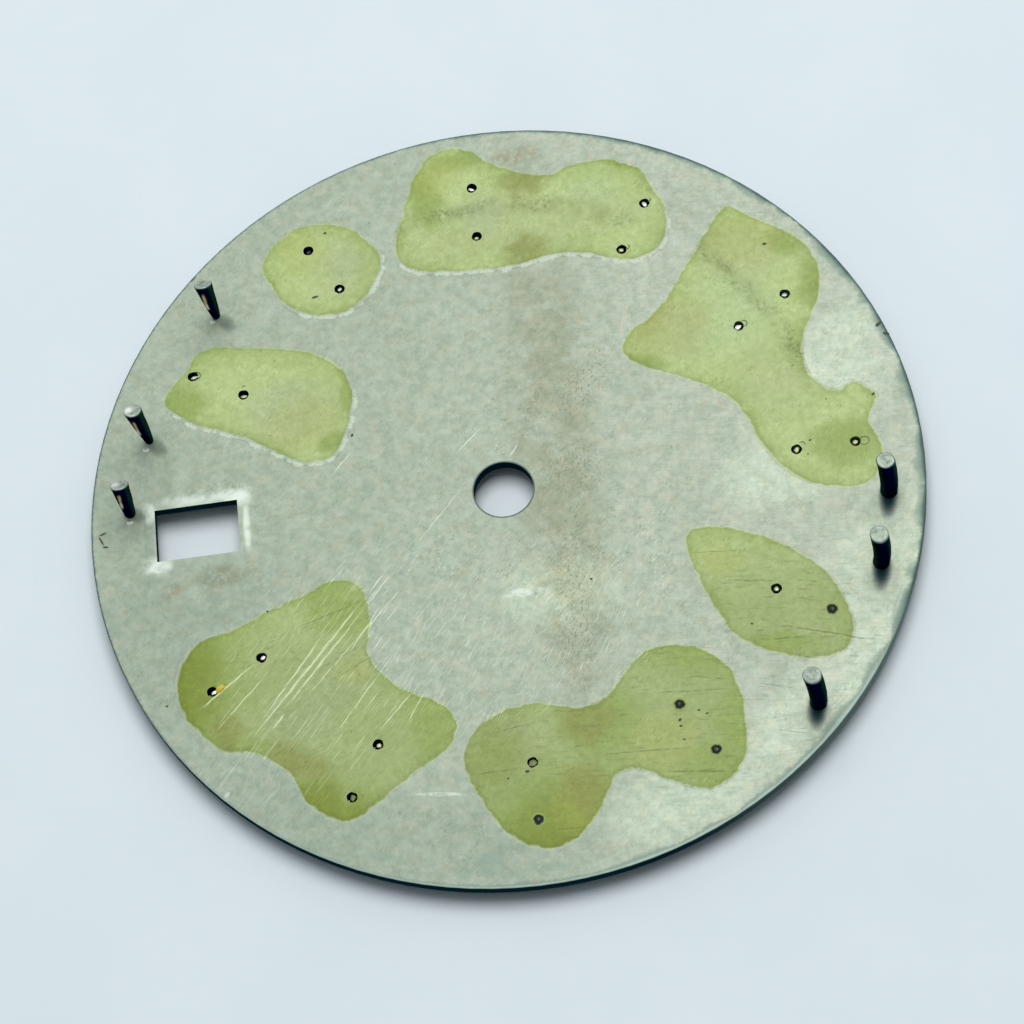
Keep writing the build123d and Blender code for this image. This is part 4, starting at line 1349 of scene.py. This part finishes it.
class DIAL_OT_pin_tips(bpy.types.Operator):
    """Add the snipped ends of the marker pins"""
    bl_idname = "dial.pin_tips"
    bl_label = "Pin Tips"

    def execute(self, context):
        settings = context.scene.dial_metal
        finishes = {key: snipped_metal(*finish) for key, finish in PIN_FINISHES.items()}
        for seed, ((hour, ring), tip) in enumerate(PIN_TIPS.items()):
            mesh = tip_mesh(f"pin_tip_{hour:02d}_{ring}", pin_axis(settings, hour, ring), tip,
                            settings, seed * 1.7)
            new_piece(mesh, finishes[tip[-1]])
        return {"FINISHED"}


class DIAL_OT_drops(bpy.types.Operator):
    """Add the lacquer drops, ridges, beads and crumbs round the pins"""
    bl_idname = "dial.drops"
    bl_label = "Drops and Crumbs"

    def execute(self, context):
        settings = context.scene.dial_metal
        over_hole = filled_hole_lacquer()
        for hour, ring in FILLED_PINS:
            mesh = drop_mesh(f"lacquer_drop_{hour:02d}_{ring}", pin_axis(settings, hour, ring),
                             hour + 0.3)
            new_piece(mesh, over_hole)
        ridge_lacquer = lacquer_lump("fixing_lacquer_ridge", "#5E6A38", "#2C3420", 0.35)
        for (hour, ring), ridge in LACQUER_RIDGES.items():
            mesh = ridge_mesh(f"lacquer_ridge_{hour:02d}_{ring}", pin_axis(settings, hour, ring),
                              ridge)
            new_piece(mesh, ridge_lacquer)
        for name, places, height_share, base_z, finish in LUMPS:
            new_piece(lumps_mesh(name, places, height_share, base_z), lacquer_lump(*finish))
        return {"FINISHED"}


class DIAL_OT_feet(bpy.types.Operator):
    """Stand the copper feet on the plate"""
    bl_idname = "dial.feet"
    bl_label = "Feet"

    def execute(self, context):
        settings = context.scene.dial_metal
        material = shaded_oxide_copper(settings)
        for node_name in FEET:
            name = node_name.replace("dial_foot", "wire_foot")
            new_piece(foot_mesh(name, node_name, settings), material, [node_name])
        new_piece(lumps_mesh("weld_beads", WELD_BEADS, 0.3),
                  snipped_metal("solder_pale", "#C4CFC2", 0.6, 1.0))
        return {"FINISHED"}


class DIAL_OT_stage(bpy.types.Operator):
    """Set the paper floor, the soft light and the camera"""
    bl_idname = "dial.stage"
    bl_label = "Stage"

    def execute(self, context):
        scene, settings = context.scene, context.scene.dial_stage
        scene.view_settings.view_transform = "Standard"
        low, half = CAD_BOUNDS[0].z / MM, FLOOR_HALF_WIDTH
        corners = [(-half, -half, low), (half, -half, low), (half, half, low), (-half, half, low)]
        mesh = mesh_from("floor", corners, [(0, 1, 2, 3)])
        mesh.materials.append(matt_paper(settings))
        floor = bpy.data.objects.new("floor", mesh)
        scene.collection.objects.link(floor)
        self.sky(scene, settings)
        self.key(scene, settings)
        self.camera(scene, settings)
        return {"FINISHED"}

    def sky(self, scene, settings):
        """Soft sky, bright beyond the dial and dim on the camera's side. The camera and shiny
        metal see a backdrop of the floor's own paper instead."""
        world = bpy.data.worlds.new("studio")
        scene.world = world
        world.use_nodes = True
        tree = world.node_tree
        tree.nodes.clear()
        way = add(tree, "TexCoord").outputs["Generated"]
        height = add(tree, "VectorMath", {0: way, 1: SKY_WAY}, operation="DOT_PRODUCT")
        strength = add(tree, "MapRange", {
            "Value": height, "From Min": 0.0, "From Max": 1.0,
            "To Min": settings.dim_sky, "To Max": settings.bright_sky}, **SOFT)
        sky = add(tree, "Background", {"Color": settings.sky, "Strength": strength})
        backdrop = add(tree, "Background", {"Color": settings.floor, "Strength": 1.0})
        rays = add(tree, "LightPath").outputs
        seen = strongest(tree, *(rays[f"Is {kind} Ray"] for kind in ("Camera", "Glossy",
                                                                    "Transmission")))
        both = add(tree, "MixShader", {0: seen, 1: sky, 2: backdrop})
        add(tree, "OutputWorld", {"Surface": both})

    def key(self, scene, settings):
        """One wide lamp, as strong as its share of the light on a level sheet."""
        lamp = bpy.data.lights.new("key", "AREA")
        lamp.shape = "DISK"
        lamp.size = settings.key_width
        lamp.color = settings.key_tint[:3]
        rise, turn, far = settings.key_elevation, settings.key_azimuth, settings.key_distance
        lamp.energy = settings.key_share * (math.pi * far) ** 2 / math.sin(rise)
        towards = Vector((math.sin(turn) * math.cos(rise), math.cos(turn) * math.cos(rise),
                          math.sin(rise)))
        key = bpy.data.objects.new("key", lamp)
        key.location = towards * far
        key.rotation_euler = towards.to_track_quat("Z", "Y").to_euler()
        scene.collection.objects.link(key)

    def camera(self, scene, settings):
        """Camera above the 6 o'clock edge, at the angle and distance of the photograph."""
        place, target = Vector(CAMERA_PLACE) * MM, Vector(CAMERA_TARGET) * MM
        lens = bpy.data.cameras.new("camera")
        lens.lens = settings.lens
        lens.clip_start = MM
        camera = bpy.data.objects.new("camera", lens)
        view = (target - place).to_track_quat("-Z", "Y").to_matrix()
        roll = Matrix.Rotation(settings.camera_roll, 3, "Z")
        camera.matrix_world = Matrix.Translation(place) @ (view @ roll).to_4x4()
        scene.collection.objects.link(camera)
        scene.camera = camera


OPERATORS = [DIAL_OT_stage, DIAL_OT_plate, DIAL_OT_face, DIAL_OT_markers, DIAL_OT_films,
             DIAL_OT_edge_highlights, DIAL_OT_pin_tips, DIAL_OT_drops, DIAL_OT_feet]


class DIAL_PT_panel(bpy.types.Panel):
    """Sizes, colours and steps of the dial"""
    bl_idname = "DIAL_PT_panel"
    bl_label = "Watch Dial"
    bl_space_type = "VIEW_3D"
    bl_region_type = "UI"
    bl_category = "Watch Dial"

    def draw(self, context):
        for key, group in SETTINGS.items():
            box = self.layout.box()
            for name in group.__annotations__:
                box.prop(getattr(context.scene, key), name)
        for operator in OPERATORS:
            self.layout.operator(operator.bl_idname)


def register():
    """Make the settings, the operators and the panel known."""
    for group in SETTINGS.values():
        bpy.utils.register_class(group)
    for known in OPERATORS + [DIAL_PT_panel]:
        bpy.utils.register_class(known)
    for key, group in SETTINGS.items():
        setattr(bpy.types.Scene, key, PointerProperty(type=group))


def unregister():
    """Take the panel, the operators and the settings out again."""
    for key in SETTINGS:
        delattr(bpy.types.Scene, key)
    for known in [DIAL_PT_panel] + OPERATORS + list(SETTINGS.values()):
        bpy.utils.unregister_class(known)


def main():
    """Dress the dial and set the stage."""
    register()
    bpy.ops.dial.stage()
    bpy.ops.dial.plate()
    bpy.ops.dial.face()
    bpy.ops.dial.markers()
    bpy.ops.dial.films()
    bpy.ops.dial.blooms()
    bpy.ops.dial.pin_tips()
    bpy.ops.dial.drops()
    bpy.ops.dial.feet()


if __name__ == "__main__":
    main()
